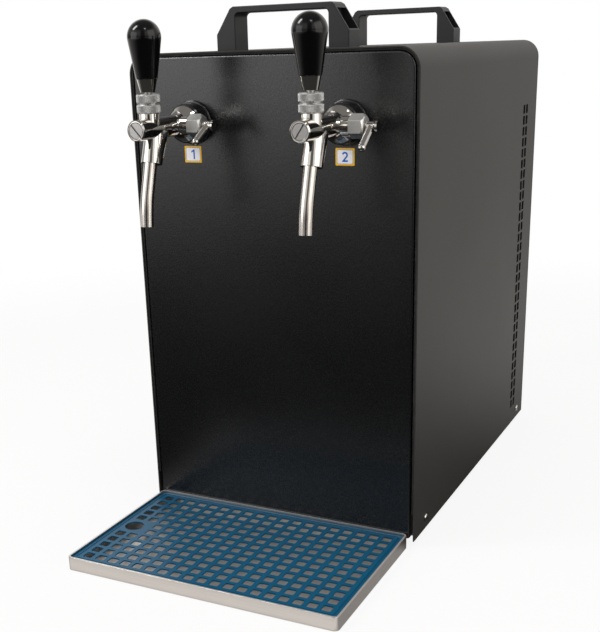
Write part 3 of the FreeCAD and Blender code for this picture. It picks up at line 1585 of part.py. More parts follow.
def filter_drier():
    """Filter drier between the condenser and the evaporator, with necks at both ends."""
    cone_end = drier_neck_length + drier_cone_length
    body_end = cone_end + drier_body_length
    profile = ((0, 0), (drier_end, 0), (drier_neck, drier_neck_length), (drier_radius, cone_end),
               (drier_radius, body_end), (drier_neck, body_end + drier_cone_length),
               (drier_end, drier_length), (0, drier_length))
    return turned(profile, drier_place, Z_AXIS)


def refrigerant_pipes():
    """Discharge to the condenser, liquid line to the drier and on to the block, and suction."""
    plane = face_y + evaporator_plane
    block_end = foam_top + evaporator_stub
    y = compressor_y
    middle = condenser_middle
    low_run = condenser_low + condenser_pitch / 2
    top_run = condenser_high - condenser_pitch / 2
    tube_end = condenser_overhang + pipe_end_gap

    can_side = compressor_x - compressor_radius
    outlet = compressor_low + discharge_rise
    aside = can_side - discharge_step
    discharge = pipe([(can_side, y, outlet), (aside, y, outlet), (aside, middle, outlet),
                      (aside, middle, top_run), (condenser_left - tube_end, middle, top_run)],
                     pipe_radius, discharge_bend)
    drier_x, drier_y, drier_z = drier_place
    liquid = pipe([(condenser_right + tube_end, middle, low_run), (drier_x, middle, low_run),
                   (drier_x, drier_y, drier_z)], pipe_radius, liquid_bend)
    feed_level = foam_top + feed_rise
    feed = pipe([(drier_x, drier_y, drier_z + drier_length), (drier_x, drier_y, feed_level),
                 (evaporator_half, plane, feed_level), (evaporator_half, plane, block_end)],
                pipe_radius, feed_bend)
    suction_level = foam_top + suction_rise
    suction_x = compressor_x - suction_step
    suction = pipe([(-evaporator_half, plane, block_end), (-evaporator_half, plane, suction_level),
                    (suction_x, y, suction_level), (suction_x, y, compressor_high)],
                   suction_radius, suction_bend)
    return group([discharge, liquid, feed, suction])


# ================================================================ write the pieces
def cabinet_pieces():
    return {
        "outer_casing": outer_casing(),
        "front_panel": front_panel(),
        "panel_gasket": panel_gasket(),
        "base_plate": base_plate(),
        "rear_panel": rear_panel(),
        "rubber_feet": rubber_feet(),
        "casing_screws": casing_screws(),
        "rear_screws": rear_screws(),
        "handle_front": handle(handle_starts[0]),
        "handle_rear": handle(handle_starts[1]),
        "handle_screws": handle_screws(),
        "drip_tray": drip_tray(),
        "drip_grid": drip_grid(),
    }


def tap_pieces():
    pieces = {
        "tap_shanks": tap_shanks(),
        "shank_nuts": shank_nuts(),
        "shank_collars": shank_collars(),
        "tap_plugs": tap_plugs(),
        "tap_seals": tap_seals(),
        "knurled_rings": knurled_rings(),
        "compensator_nuts": compensator_nuts(),
        "number_plates": number_plates(),
    }
    for number, (x, angle) in enumerate(zip(tap_sides, arm_angles), start=1):
        pieces[f"tap_body_{number}"] = tap_body(x)
        pieces[f"spout_{number}"] = spout(x)
        pieces[f"lever_stem_{number}"] = lever_stem(x)
        pieces[f"lever_ferrule_{number}"] = lever_ferrule(x)
        pieces[f"lever_knob_{number}"] = lever_knob(x)
        pieces[f"valve_piston_{number}"] = valve_piston(x)
        pieces[f"compensator_lever_{number}"] = compensator_lever(x, angle)
        pieces[f"compensator_cone_{number}"] = compensator_cone(x)
    return pieces


def rear_pieces():
    pieces = {
        "thermostat": thermostat(),
        "thermostat_dial": thermostat_dial(),
        "switch_housing": switch_housing(),
        "power_rocker": power_rocker(),
        "mains_inlet": mains_inlet(),
        "beer_inlets": beer_inlets(),
    }
    for number, x in enumerate(inlet_sides, start=1):
        pieces[f"inlet_collet_{number}"] = inlet_collet(x)
    return pieces


def cooling_pieces():
    room = tube_radius + solder_gap
    coils = [beer_coil(x, room) for x in tap_sides] + [evaporator_coil(room)]
    pieces = {
        "cooling_block": cooling_block(coils),
        "block_insulation": block_insulation(coils),
        "evaporator_coil": evaporator_coil(tube_radius),
        "compressor_shell": compressor_shell(),
        "compressor_motor": compressor_motor(),
        "compressor_grommets": compressor_grommets(),
        "condenser": condenser(),
        "fan_shroud": fan_shroud(),
        "fan_motor": fan_motor(),
        "fan_shaft": fan_shaft(),
        "fan_blade": fan_blade(),
        "filter_drier": filter_drier(),
        "refrigerant_pipes": refrigerant_pipes(),
    }
    for number, x in enumerate(tap_sides, start=1):
        pieces[f"beer_coil_{number}"] = beer_coil(x, tube_radius)
    return pieces


def main():
    os.makedirs("parts", exist_ok=True)
    for pieces in (cabinet_pieces(), tap_pieces(), rear_pieces(), cooling_pieces()):
        for name, shape in pieces.items():
            shape.exportStep(os.path.join("parts", name + ".step"))
            print(f"{name:24s} solids {len(shape.Solids):3d} volume {shape.Volume:12.1f} "
                  f"valid {shape.isValid()}")


main()
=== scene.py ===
"""Finishes of a two-tap countertop beer cooler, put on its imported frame. Metres, +Z up, front to -Y."""
import json
import math

import bmesh
import bpy
from bpy.props import FloatProperty, FloatVectorProperty, IntProperty, PointerProperty
from mathutils import Matrix, Vector

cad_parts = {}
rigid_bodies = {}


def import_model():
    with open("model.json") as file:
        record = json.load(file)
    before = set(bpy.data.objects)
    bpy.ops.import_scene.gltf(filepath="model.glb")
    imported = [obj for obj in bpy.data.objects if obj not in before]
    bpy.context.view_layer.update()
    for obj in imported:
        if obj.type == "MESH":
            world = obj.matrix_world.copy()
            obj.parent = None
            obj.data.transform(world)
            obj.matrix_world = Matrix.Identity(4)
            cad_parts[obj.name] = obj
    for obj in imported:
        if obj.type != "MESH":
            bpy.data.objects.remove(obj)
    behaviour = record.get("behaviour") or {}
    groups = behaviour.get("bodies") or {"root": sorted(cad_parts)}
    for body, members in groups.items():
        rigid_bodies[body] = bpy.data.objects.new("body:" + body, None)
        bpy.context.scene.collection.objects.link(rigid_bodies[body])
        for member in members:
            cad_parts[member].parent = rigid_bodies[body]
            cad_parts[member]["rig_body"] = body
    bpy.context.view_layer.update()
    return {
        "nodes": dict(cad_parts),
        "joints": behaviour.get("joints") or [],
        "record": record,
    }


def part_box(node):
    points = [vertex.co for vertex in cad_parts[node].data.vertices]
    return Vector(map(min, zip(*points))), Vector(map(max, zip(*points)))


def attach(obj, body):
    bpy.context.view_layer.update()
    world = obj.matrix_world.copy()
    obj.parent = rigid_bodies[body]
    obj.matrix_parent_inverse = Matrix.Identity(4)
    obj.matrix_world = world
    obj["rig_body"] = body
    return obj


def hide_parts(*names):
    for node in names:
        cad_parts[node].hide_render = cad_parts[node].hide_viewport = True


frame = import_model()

bl_info = {
    "name": "Beer Cooler Finishes",
    "version": (1, 0, 0),
    "blender": (4, 5, 0),
    "location": "View3D > Sidebar > Cooler",
    "description": "Finishes, small parts and studio of a two-tap countertop beer cooler",
    "category": "Object",
}

NODES = frame["nodes"]
ONES = (1.0, 1.0, 1.0)      # white, and a stretch that is the same each way
PRINT = 0.0001              # thickness of a printed or pressed mark
# turns a text that lies face up so that it stands and faces the rear
REARWARD = Matrix.Rotation(math.pi, 4, "Z") @ Matrix.Rotation(math.pi / 2, 4, "X")


# ---- properties
def colour(name, description, default):
    return FloatVectorProperty(name=name, description=description, default=default,
                               subtype="COLOR", size=3, min=0.0, max=1.0)


def length(name, description, default):
    return FloatProperty(name=name, description=description, default=default, min=0.0,
                         unit="LENGTH", subtype="DISTANCE", precision=5)


def share(name, description, default):
    return FloatProperty(name=name, description=description, default=default, min=0.0,
                         max=1.0, subtype="FACTOR")


def level(name, description, default):
    return FloatProperty(name=name, description=description, default=default, min=0.0, soft_max=4.0)


def count(name, description, default):
    return IntProperty(name=name, description=description, default=default, min=1)


def angle(name, description, default):
    return FloatProperty(name=name, description=description, default=math.radians(default),
                         subtype="ANGLE", unit="ROTATION")


def place(name, description, default):
    return FloatVectorProperty(name=name, description=description, default=default,
                               subtype="TRANSLATION", unit="LENGTH", size=3)


class CabinetSettings(bpy.types.PropertyGroup):
    """Sizes and colours of the cabinet's finishes."""
    side_colour: colour("Side colour", "Powder coat of the casing and rear panel", (0.033, 0.0315, 0.029))
    front_colour: colour("Front colour", "Powder coat of the front panel", (0.0025, 0.0029, 0.0038))
    side_grain: length("Side grain", "Width of one bead of the casing's coat", 0.0012)
    side_depth: length("Side depth", "Height of those beads", 0.00006)
    front_grain: length("Front grain", "Width of one bead of the front panel's coat", 0.0019)
    front_depth: length("Front depth", "Height of those beads", 0.00006)
    handle_colour: colour("Handle colour", "Moulded plastic of the handles", (0.012, 0.012, 0.0145))
    rubber_colour: colour("Rubber colour", "Feet, gasket and seals", (0.010, 0.010, 0.010))
    zinc_colour: colour("Zinc colour", "Plated base and fan shroud", (0.50, 0.50, 0.49))
    screw_colour: colour("Screw colour", "Bright plated screws", (0.66, 0.65, 0.63))


class TapSettings(bpy.types.PropertyGroup):
    """Sizes and colours of the taps."""
    chrome_colour: colour("Chrome colour", "Polished plating of the taps", (0.74, 0.71, 0.67))
    spout_colour: colour("Spout colour", "Polished outlet tubes", (0.66, 0.62, 0.58))
    satin_colour: colour("Satin colour", "Gland nuts of the compensators", (0.82, 0.82, 0.80))
    plug_colour: colour("Plug colour", "Turned faces of the front plugs", (0.46, 0.45, 0.44))
    knob_colour: colour("Knob colour", "Gloss moulding of the lever knobs", (0.0020, 0.0021, 0.0024))
    rosette_colour: colour("Rosette colour", "Gloss moulding of the rosettes", (0.0055, 0.0055, 0.0060))
    brass_colour: colour("Brass colour", "Nuts behind the front panel", (0.60, 0.45, 0.22))
    cone_colour: colour("Cone colour", "Acetal cones of the flow compensators", (0.70, 0.70, 0.68))
    knurl_columns: count("Knurl columns", "Diamonds round one ring", 72)
    knurl_rows: count("Knurl rows", "Rows of diamonds on one ring", 7)
    knurl_depth: length("Knurl depth", "Height of one diamond", 0.00026)
    ring_gap: length("Ring gap", "Space between the two rings of a tap", 0.0009)
    ring_edge: length("Ring edge", "Bevel of a ring's ends", 0.0006)
    ring_bore: length("Ring bore", "Radius of the hole at the foot of the rings", 0.0051)
    ring_neck: length("Ring neck", "How far the neck between the two rings lies back", 0.00132)
    ring_flare: share("Ring flare", "How fast the hole widens upward for the lever's swing", 0.236)


class PlateSettings(bpy.types.PropertyGroup):
    """Sizes and colours of the number plates."""
    border_colour: colour("Border colour", "Plate's edge", (0.96, 0.53, 0.0))
    field_colour: colour("Field colour", "Plate's middle", (0.90, 0.885, 0.93))
    print_colour: colour("Print colour", "Numeral", (0.006, 0.125, 0.50))
    line_colour: colour("Line colour", "Thin line round the field", (0.16, 0.30, 0.60))
    plate_width: length("Plate width", "Width of one plate", 0.018)
    border: length("Border", "Width of the coloured edge", 0.0013)
    line: length("Line", "Width of the thin line", 0.00045)
    corner: length("Corner", "Rounding of the thin line", 0.0015)
    layer: length("Layer", "Thickness of each printed layer", 0.00003)
    numeral: length("Numeral", "Height of the numeral", 0.0087)
    numeral_width: length("Numeral width", "Width of the numeral 2", 0.0056)
    stroke: length("Stroke", "Width of the numerals' strokes", 0.00145)


class TraySettings(bpy.types.PropertyGroup):
    """Sizes and colours of the drip tray and its grid."""
    steel_colour: colour("Steel colour", "Brushed tray", (0.74, 0.70, 0.67))
    grid_colour: colour("Grid colour", "Moulded grid", (0.003, 0.088, 0.178))
    brush_pitch: length("Brush pitch", "Width of one brush line", 0.00045)
    grid_edge: length("Grid edge", "Rounding of the grid's edges", 0.00045)


class RearSettings(bpy.types.PropertyGroup):
    """Sizes and colours of the rear fittings."""
    black_colour: colour("Black colour", "Dial, switch and inlet mouldings", (0.014, 0.014, 0.015))
    mark_colour: colour("Mark colour", "Scale marks, numerals and switch signs", (0.80, 0.80, 0.78))
    rocker_colour: colour("Rocker colour", "Switch rocker", (0.012, 0.26, 0.05))
    fitting_colour: colour("Fitting colour", "Bodies of the hose fittings", (0.045, 0.045, 0.05))
    collet_colour: colour("Collet colour", "Release rings of the hose fittings", (0.62, 0.62, 0.60))
    marks: count("Marks", "Scale marks round the dial", 25)
    sweep: angle("Sweep", "Arc that the scale covers", 270.0)
    mark_length: length("Mark length", "Length of one scale mark", 0.0032)
    mark_width: length("Mark width", "Width of one scale mark", 0.0006)
    numerals: count("Numerals", "Numerals on the scale", 7)
    numeral: length("Numeral", "Height of a scale numeral", 0.0037)
    skirt: length("Skirt", "Height of the dial's skirt at its rim", 0.0050)
    skirt_edge: length("Skirt edge", "Rounding of the skirt's rim", 0.0015)
    skirt_slope: share("Skirt slope", "Rise of the skirt toward the grip", 0.158)
    mark_ring: length("Mark ring", "Dial's rim to the middle of the marks", 0.0040)
    numeral_ring: length("Numeral ring", "Dial's rim to the middle of the numerals", 0.0086)
    pointer_width: length("Pointer width", "Width of the pointer on the grip", 0.0016)
    pointer_foot: length("Pointer foot", "Dial's middle to the pointer's near end", 0.002)
    pointer_reach: share("Pointer reach", "Pointer's far end as a share of the dial's radius", 0.5)
    sign_height: length("Sign height", "Height of the signs on the rocker", 0.0036)
    sign_lift: length("Sign lift", "Rocker's axle to the face that carries a sign", 0.0046)
    sign_step: length("Sign step", "Rocker's middle to the middle of a sign", 0.0062)
    sign_lean: angle("Sign lean", "How far the rocker's lower face leans", 16.0)


class CoolingSettings(bpy.types.PropertyGroup):
    """Colours of the cooling circuit."""
    foam_colour: colour("Foam colour", "Insulation", (0.70, 0.62, 0.42))
    block_colour: colour("Block colour", "Cast cooling block and fan blades", (0.56, 0.57, 0.58))
    fin_colour: colour("Fin colour", "Condenser fins", (0.62, 0.63, 0.64))
    copper_colour: colour("Copper colour", "Refrigerant tubes", (0.72, 0.36, 0.22))
    coil_colour: colour("Coil colour", "Stainless beer lines", (0.60, 0.59, 0.57))
    enamel_colour: colour("Enamel colour", "Compressor can", (0.010, 0.010, 0.011))
    iron_colour: colour("Iron colour", "Motors", (0.17, 0.17, 0.18))


class StudioSettings(bpy.types.PropertyGroup):
    """Camera, lamps and floor."""
    camera_place: place("Camera place", "Where the camera stands", (0.4428664, -0.9997323, 0.4620))
    camera_pitch: angle("Camera pitch", "Turn about X", 71.01969)
    camera_roll: angle("Camera roll", "Turn about Y", 1.88611)
    camera_yaw: angle("Camera yaw", "Turn about Z", 27.05941)
    camera_lens: FloatProperty(name="Camera lens", description="Focal length", default=59.51,
                               unit="CAMERA")
    camera_shift: FloatVectorProperty(name="Camera shift", description="Shift of the frame", size=2,
                                      default=(0.05575, 0.14022))
    floor_colour: colour("Floor colour", "Plain pale floor", (0.80, 0.80, 0.80))
    floor_size: length("Floor size", "Width of the floor", 24.0)
    backdrop: share("Backdrop", "How much of the floor's own shade the white backdrop hides", 0.88)
    ambient: share("Ambient", "Strength of the room's own light", 0.42)
    wall_light: level("Wall light", "Walls beside the camera, as metal shows them", 0.85)
    wall_dark: level("Wall dark", "Walls far from the camera, as metal shows them", 0.45)
    middle_dark: share("Middle dark", "How much the dark card behind the camera hides", 0.85)
    back_light: level("Back light", "White backdrop, as metal shows it", 0.95)
    ceiling_light: level("Ceiling light", "Ceiling, as metal shows it", 0.20)
    # painted reflection: how brightly the floor glows to metal, before, aside and beside the tray
    floor_dark: level("Floor dark", "Floor before the cooler, as metal shows it", 0.035)
    floor_side: level("Floor side", "Floor far to the sides, as metal shows it", 0.7)
    floor_ahead: level("Floor ahead", "Floor right before the tray, as metal shows it", 0.85)
    floor_beside: level("Floor beside", "Floor right beside the tray, as metal shows it", 0.3)


SETTINGS = {
    "cooler_cabinet": CabinetSettings, "cooler_taps": TapSettings, "cooler_plates": PlateSettings,
    "cooler_tray": TraySettings, "cooler_rear": RearSettings, "cooler_cooling": CoolingSettings,
    "cooler_studio": StudioSettings,
}


# ---- node trees
def operator(operation, swapped=False):
    """Arithmetic between a Link and a Link or number, as one Math node."""
    def apply(self, other):
        pair = (other, self) if swapped else (self, other)
        return self.math(operation, *pair)
    return apply


class Link:
    """A value in a node tree. Arithmetic on it adds Math nodes."""

    def __init__(self, tree, socket):
        self.tree = tree
        self.socket = socket

    def math(self, operation, *values):
        return self.tree.node("ShaderNodeMath", {"operation": operation}, dict(enumerate(values)))

    __add__ = operator("ADD")
    __radd__ = operator("ADD", True)
    __sub__ = operator("SUBTRACT")
    __rsub__ = operator("SUBTRACT", True)
    __mul__ = operator("MULTIPLY")
    __rmul__ = operator("MULTIPLY", True)
    __truediv__ = operator("DIVIDE")
    __rtruediv__ = operator("DIVIDE", True)
    __mod__ = operator("FLOORED_MODULO")
    __rmod__ = operator("FLOORED_MODULO", True)
    above = operator("GREATER_THAN")
    most = operator("MAXIMUM")

    def floor(self):
        return self.math("FLOOR", self)

    def sine(self):
        return self.math("SINE", self)

    def cosine(self):
        return self.math("COSINE", self)

    def size(self):
        return self.math("ABSOLUTE", self)

    def ramp(self, low, high, start=0.0, end=1.0):
        """Smooth step: start below low, end above high."""
        return self.tree.node("ShaderNodeMapRange", {"interpolation_type": "SMOOTHSTEP"},
                              {"Value": self, "From Min": low, "From Max": high,
                               "To Min": start, "To Max": end})


class Tree:
    """Adds nodes to a shader or geometry tree."""

    def __init__(self, nodes):
        self.nodes = nodes

    def node(self, kind, settings=None, values=None, output=0):
        """Adds a node, sets it up, feeds its sockets and returns one of its outputs."""
        made = self.nodes.nodes.new(kind)
        for name, value in (settings or {}).items():
            setattr(made, name, value)
        for name, value in (values or {}).items():
            self.feed(made.inputs[name], value)
        return Link(self, made.outputs[output])

    def feed(self, socket, value):
        if isinstance(value, Link):
            self.nodes.links.new(value.socket, socket)
        elif socket.type == "RGBA":
            socket.default_value = (*value, 1.0)
        else:
            socket.default_value = value

    def vector(self, operation, *values):
        """Vector Math; gives a number where the operation does."""
        output = "Value" if operation in ("DOT_PRODUCT", "LENGTH") else "Vector"
        return self.node("ShaderNodeVectorMath", {"operation": operation},
                         dict(enumerate(values)), output)

    def scaled(self, value, amount):
        return self.node("ShaderNodeVectorMath", {"operation": "SCALE"}, {0: value, "Scale": amount})

    def joined(self, x, y, z):
        return self.node("ShaderNodeCombineXYZ", None, {"X": x, "Y": y, "Z": z})

    def axis(self, value, name):
        return self.node("ShaderNodeSeparateXYZ", None, {0: value}, name)

    def mix(self, factor, first, second):
        return self.node("ShaderNodeMix", {"data_type": "RGBA"}, {0: factor, 6: first, 7: second}, 2)

    def ray(self, kind):
        return self.node("ShaderNodeLightPath", output=f"Is {kind} Ray")

    def shown(self):
        """1 where the camera looks, straight or through glass."""
        return self.ray("Camera").most(self.ray("Transmission"))


class Finish(Tree):
    """One procedural material."""

    def __init__(self, name):
        self.material = bpy.data.materials.new(name)
        self.material.use_nodes = True
        super().__init__(self.material.node_tree)
        self.shader = self.nodes.nodes["Principled BSDF"]
        self.place = self.node("ShaderNodeTexCoord", output="Object")
        self.normal = self.node("ShaderNodeTexCoord", output="Normal")

    def set(self, **values):
        """Feeds the shader's sockets; a name's underscores stand for spaces."""
        for name, value in values.items():
            self.feed(self.shader.inputs[name.replace("_", " ")], value)

    def noise(self, width, detail=2.0, rough=0.5, stretch=ONES):
        """Noise from 0 to 1 whose patches are about width across."""
        spot = self.vector("MULTIPLY", self.place, stretch)
        return self.node("ShaderNodeTexNoise", None, {"Vector": spot, "Scale": 1.0 / width,
                                                      "Detail": detail, "Roughness": rough})

    def cells(self, width):
        """Distance to the nearest of many scattered points, in cell widths."""
        return self.node("ShaderNodeTexVoronoi", None, {"Vector": self.place, "Scale": 1.0 / width})

    def bump(self, height, depth):
        return self.node("ShaderNodeBump", None, {"Distance": depth, "Height": height})


def moulded(name, tint, rough, grain=0.0009, depth=0.00003, coat=0.0, sheen=0.5):
    """Moulded plastic with an eroded tool's texture and handling marks."""
    finish = Finish(name)
    pebble = finish.noise(grain, 3.0, 0.6)
    marks = finish.noise(0.035, 3.0)
    finish.set(Base_Color=finish.scaled(tint, 0.86 + marks * 0.28),
               Roughness=rough - 0.07 + marks * 0.14 + pebble * 0.04, Specular_IOR_Level=sheen,
               Coat_Weight=coat, Coat_Roughness=0.05, Normal=finish.bump(pebble, depth))
    return finish.material


def rubber(name, tint):
    """Dull rubber with bloom and a little dust."""
    finish = Finish(name)
    bloom = finish.noise(0.012, 4.0, 0.65)
    skin = finish.noise(0.0006, 2.0)
    dust = (0.028, 0.027, 0.026)
    finish.set(Base_Color=finish.mix(bloom.ramp(0.45, 0.75), tint, dust),
               Roughness=0.72 + bloom * 0.2, Normal=finish.bump(skin, 0.00004))
    return finish.material


def powder_coat(name, tint, grain, depth, rough, sheen):
    """Powder coat: fine beads, a faint orange peel and soft cloudiness."""
    finish = Finish(name)
    beads = finish.noise(grain, 2.0, 0.6)
    peel = finish.noise(grain * 5.0, 2.0)
    cloud = finish.noise(0.11, 3.0)
    specks = finish.cells(grain * 0.9).ramp(0.05, 0.3, 1.0, 0.0)
    shade = 0.74 + cloud * 0.18 + beads * 0.30 + specks * 0.20
    finish.set(Base_Color=finish.scaled(tint, shade),
               Roughness=rough - 0.06 + cloud * 0.08 + beads * 0.10, Specular_IOR_Level=sheen,
               Normal=finish.bump(beads * 0.75 + peel * 0.6, depth))
    return finish.material


def bright_metal(name, tint, rough, wave=0.0, smear=0.05):
    """Polished metal with faint polishing waves, smears and hair scratches."""
    finish = Finish(name)
    smears = finish.noise(0.016, 3.0, 0.6)
    waves = finish.noise(0.006, 1.0)
    hairs = finish.noise(0.0007, 2.0, 0.5, (1.0, 0.12, 1.0))
    finish.set(Base_Color=finish.scaled(tint, 0.95 + smears * 0.08), Metallic=1.0,
               Roughness=rough + smears.ramp(0.45, 0.8) * smear + hairs * 0.02,
               Normal=finish.bump(waves + hairs * 0.05, wave))
    return finish.material


def satin_metal(name, tint, rough, grain=0.0005, depth=0.00003):
    """Tumbled or plated metal with a fine frosted grain."""
    finish = Finish(name)
    frost = finish.noise(grain, 3.0, 0.7)
    stain = finish.noise(0.014, 3.0)
    finish.set(Base_Color=finish.scaled(tint, 0.84 + stain * 0.14 + frost * 0.14),
               Metallic=1.0, Roughness=rough - 0.05 + stain * 0.08 + frost * 0.10,
               Normal=finish.bump(frost, depth))
    return finish.material


def brushed_steel(name, tint, pitch, rough, deck_haze=0.0):
    """Sheet brushed along its length, and down its two ends; a used deck is hazy and dented."""
    finish = Finish(name)
    faces = 0.7                 # a face whose normal leans less than 45 degrees off an axis
    ends = finish.axis(finish.normal, "X").size().above(faces)
    deck = finish.axis(finish.normal, "Z").above(faces)
    along = finish.noise(pitch, 3.0, 0.6, (0.012, 1.0, 1.0))
    down = finish.noise(pitch, 3.0, 0.6, (1.0, 1.0, 0.05))
    lines = along * (1.0 - ends) + down * ends
    stain = finish.noise(0.05, 3.0)
    dents = finish.noise(0.010, 1.0) * deck * 6.0
    finish.set(Base_Color=finish.scaled(tint, 0.74 + lines * 0.38 + stain * 0.10),
               Metallic=1.0 - deck * deck_haze if deck_haze else 1.0,
               Roughness=rough - 0.08 + lines * 0.14 + stain * 0.06,
               Normal=finish.bump(lines + dents, 0.00005))
    return finish.material


def foam_finish(name, tint):
    """Expanded foam: open bubbles and yellowed patches."""
    finish = Finish(name)
    bubbles = finish.cells(0.0024)
    patch = finish.noise(0.05, 3.0)
    finish.set(Base_Color=finish.scaled(tint, 0.72 + patch * 0.3 + bubbles * 0.16),
               Roughness=0.9, Normal=finish.bump(bubbles, 0.0006))
    return finish.material


def copper_finish(name, tint):
    """Drawn copper that has browned in places."""
    finish = Finish(name)
    brown = finish.noise(0.02, 4.0, 0.6).ramp(0.42, 0.68)
    oxide = (0.30, 0.13, 0.07)
    finish.set(Base_Color=finish.mix(brown, tint, oxide), Metallic=1.0,
               Roughness=0.24 + brown * 0.26)
    return finish.material


def turned_face(name, tint):
    """Faced metal whose tool marks run across the face."""
    finish = Finish(name)
    lines = finish.noise(0.00025, 2.0, 0.5, (0.2, 1.0, 1.0))
    grime = finish.noise(0.004, 3.0)
    finish.set(Base_Color=finish.scaled(tint, 0.84 + lines * 0.2 + grime * 0.12),
               Metallic=1.0, Roughness=0.26 + grime * 0.14, Normal=finish.bump(lines, 0.00002))
    return finish.material


def printed(name, tint, sheen=0.5):
    """Printed vinyl with faint ink mottling."""
    finish = Finish(name)
    ink = finish.noise(0.0008, 3.0)
    finish.set(Base_Color=finish.scaled(tint, 0.94 + ink * 0.1),
               Roughness=0.32 + ink * 0.12, Specular_IOR_Level=sheen,
               Normal=finish.bump(ink, 0.00001))
    return finish.material


# ---- meshes
def linked(name, data):
    """A new object in the scene, at the origin."""
    made = bpy.data.objects.new(name, data)
    bpy.context.scene.collection.objects.link(made)
    return made


def plain(slot):
    """The frame's own plain material of a slot."""
    return bpy.data.materials[slot]


def put_on(material, *nodes):
    """Puts a finish on nodes of the frame."""
    for node in nodes:
        slots = NODES[node].data.materials
        slots.clear()
        slots.append(material)


def add_piece(name, mesh, material, body, slot, *replaced):
    """Links a mesh that is already in place, and lets it ride on a body."""
    piece = linked(name, mesh)
    mesh.materials.clear()
    mesh.materials.append(material)
    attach(piece, body)
    if replaced:
        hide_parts(*replaced)


def mesh_from(build, name, smooth_angle=None):
    """Runs build on an empty bmesh and returns the mesh."""
    work = bmesh.new()
    build(work)
    bmesh.ops.recalc_face_normals(work, faces=work.faces)
    mesh = bpy.data.meshes.new(name)
    work.to_mesh(mesh)
    work.free()
    if smooth_angle is not None:
        mesh.shade_smooth()
        mesh.set_sharp_from_angle(angle=math.radians(smooth_angle))
    return mesh


def eased(node, width, material, steps=2):
    """A copy of a node's mesh with its sharp edges rounded, in the node's place."""
    source = NODES[node]
    work = bmesh.new()
    work.from_mesh(source.data)
    bmesh.ops.remove_doubles(work, verts=work.verts, dist=1e-6)
    mesh = bpy.data.meshes.new("sharp")
    work.to_mesh(mesh)
    work.free()
    holder = linked("rounding", mesh)
    rounding = holder.modifiers.new("rounding", "BEVEL")
    rounding.width = width
    rounding.segments = steps
    rounding.limit_method = "ANGLE"
    rounding.angle_limit = math.radians(40.0)
    rounding.harden_normals = True
    result = flattened(holder)
    result.name = node + "_eased"
    slot = next(part["material_slot"] for part in frame["record"]["subparts"]
                if part["node"] == node)
    add_piece(result.name, result, material, source["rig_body"], slot, node)


def flattened(holder):
    """The holder's mesh with its modifiers applied; the holder itself goes."""
    bpy.context.view_layer.update()
    graph = bpy.context.evaluated_depsgraph_get()
    mesh = bpy.data.meshes.new_from_object(holder.evaluated_get(graph))
    bpy.data.objects.remove(holder)
    return mesh


def lathe(profile, centre, segments=72):
    """Builds a closed (radius, height) profile turned about Z."""
    def build(work):
        rings = []
        for step in range(segments):
            around = 2 * math.pi * step / segments
            rings.append([work.verts.new((r * math.cos(around), r * math.sin(around), z))
                          for r, z in profile])
        for here, after in zip(rings, rings[1:] + rings[:1]):
            for low in range(len(profile)):
                high = (low + 1) % len(profile)
                work.faces.new((here[low], after[low], after[high], here[high]))
        bmesh.ops.translate(work, verts=work.verts, vec=centre)
    return build


def raised(outline, y0, y1):
    """Builds a plate between y0 and y1 whose outline is a ring of (x, z) points."""
    def build(work):
        front = [work.verts.new((x, y0, z)) for x, z in outline]
        back = [work.verts.new((x, y1, z)) for x, z in outline]
        work.faces.new(front)
        work.faces.new(list(reversed(back)))
        for index in range(len(outline)):
            after = (index + 1) % len(outline)
            work.faces.new((front[index], back[index], back[after], front[after]))
        work.normal_update()
        bmesh.ops.triangulate(work, faces=[face for face in work.faces if len(face.verts) > 4])
    return build


def arc(x, z, radius, start, end, steps=8):
    """Points of an arc from start to end degrees."""
    turns = [math.radians(start + (end - start) * step / steps) for step in range(steps + 1)]
    return [(x + radius * math.cos(turn), z + radius * math.sin(turn)) for turn in turns]


def rounded_outline(x0, x1, z0, z1, radius):
    """Outline of an upright rectangle with rounded corners."""
    left, right, low, high = x0 + radius, x1 - radius, z0 + radius, z1 - radius
    return (arc(right, high, radius, 0, 90) + arc(left, high, radius, 90, 180)
            + arc(left, low, radius, 180, 270) + arc(right, low, radius, 270, 360))


def one_outline(height, stroke):
    """Outline of a plain 1: a bar with a flag."""
    flag = stroke * 2.5
    drop = stroke * 1.05
    right = flag / 2
    left = right - stroke
    return [(right, 0), (right, height), (left + stroke * 0.25, height), (right - flag, height - drop),
            (right - flag, height - drop - stroke), (left, height - stroke * 1.15), (left, 0)]


def two_outline(height, width, stroke):
    """Outline of a plain 2: an arc over the top, a diagonal and a foot."""
    outer = width / 2
    inner = outer - stroke
    middle = height - outer
    tip = 165.0
    bend = -40.0
    steps = 14
    slope = 1 / math.tan(math.radians(-bend))
    over = arc(0, middle, outer, tip, bend, steps)
    under = arc(0, middle, inner, bend, tip, steps)
    foot_x = over[-1][0] - (over[-1][1] - stroke) / slope
    foot_z = under[0][1] - (under[0][0] + outer) * slope
    return (over + [(foot_x, stroke), (outer, stroke), (outer, 0), (-outer, 0), (-outer, foot_z)]
            + under)


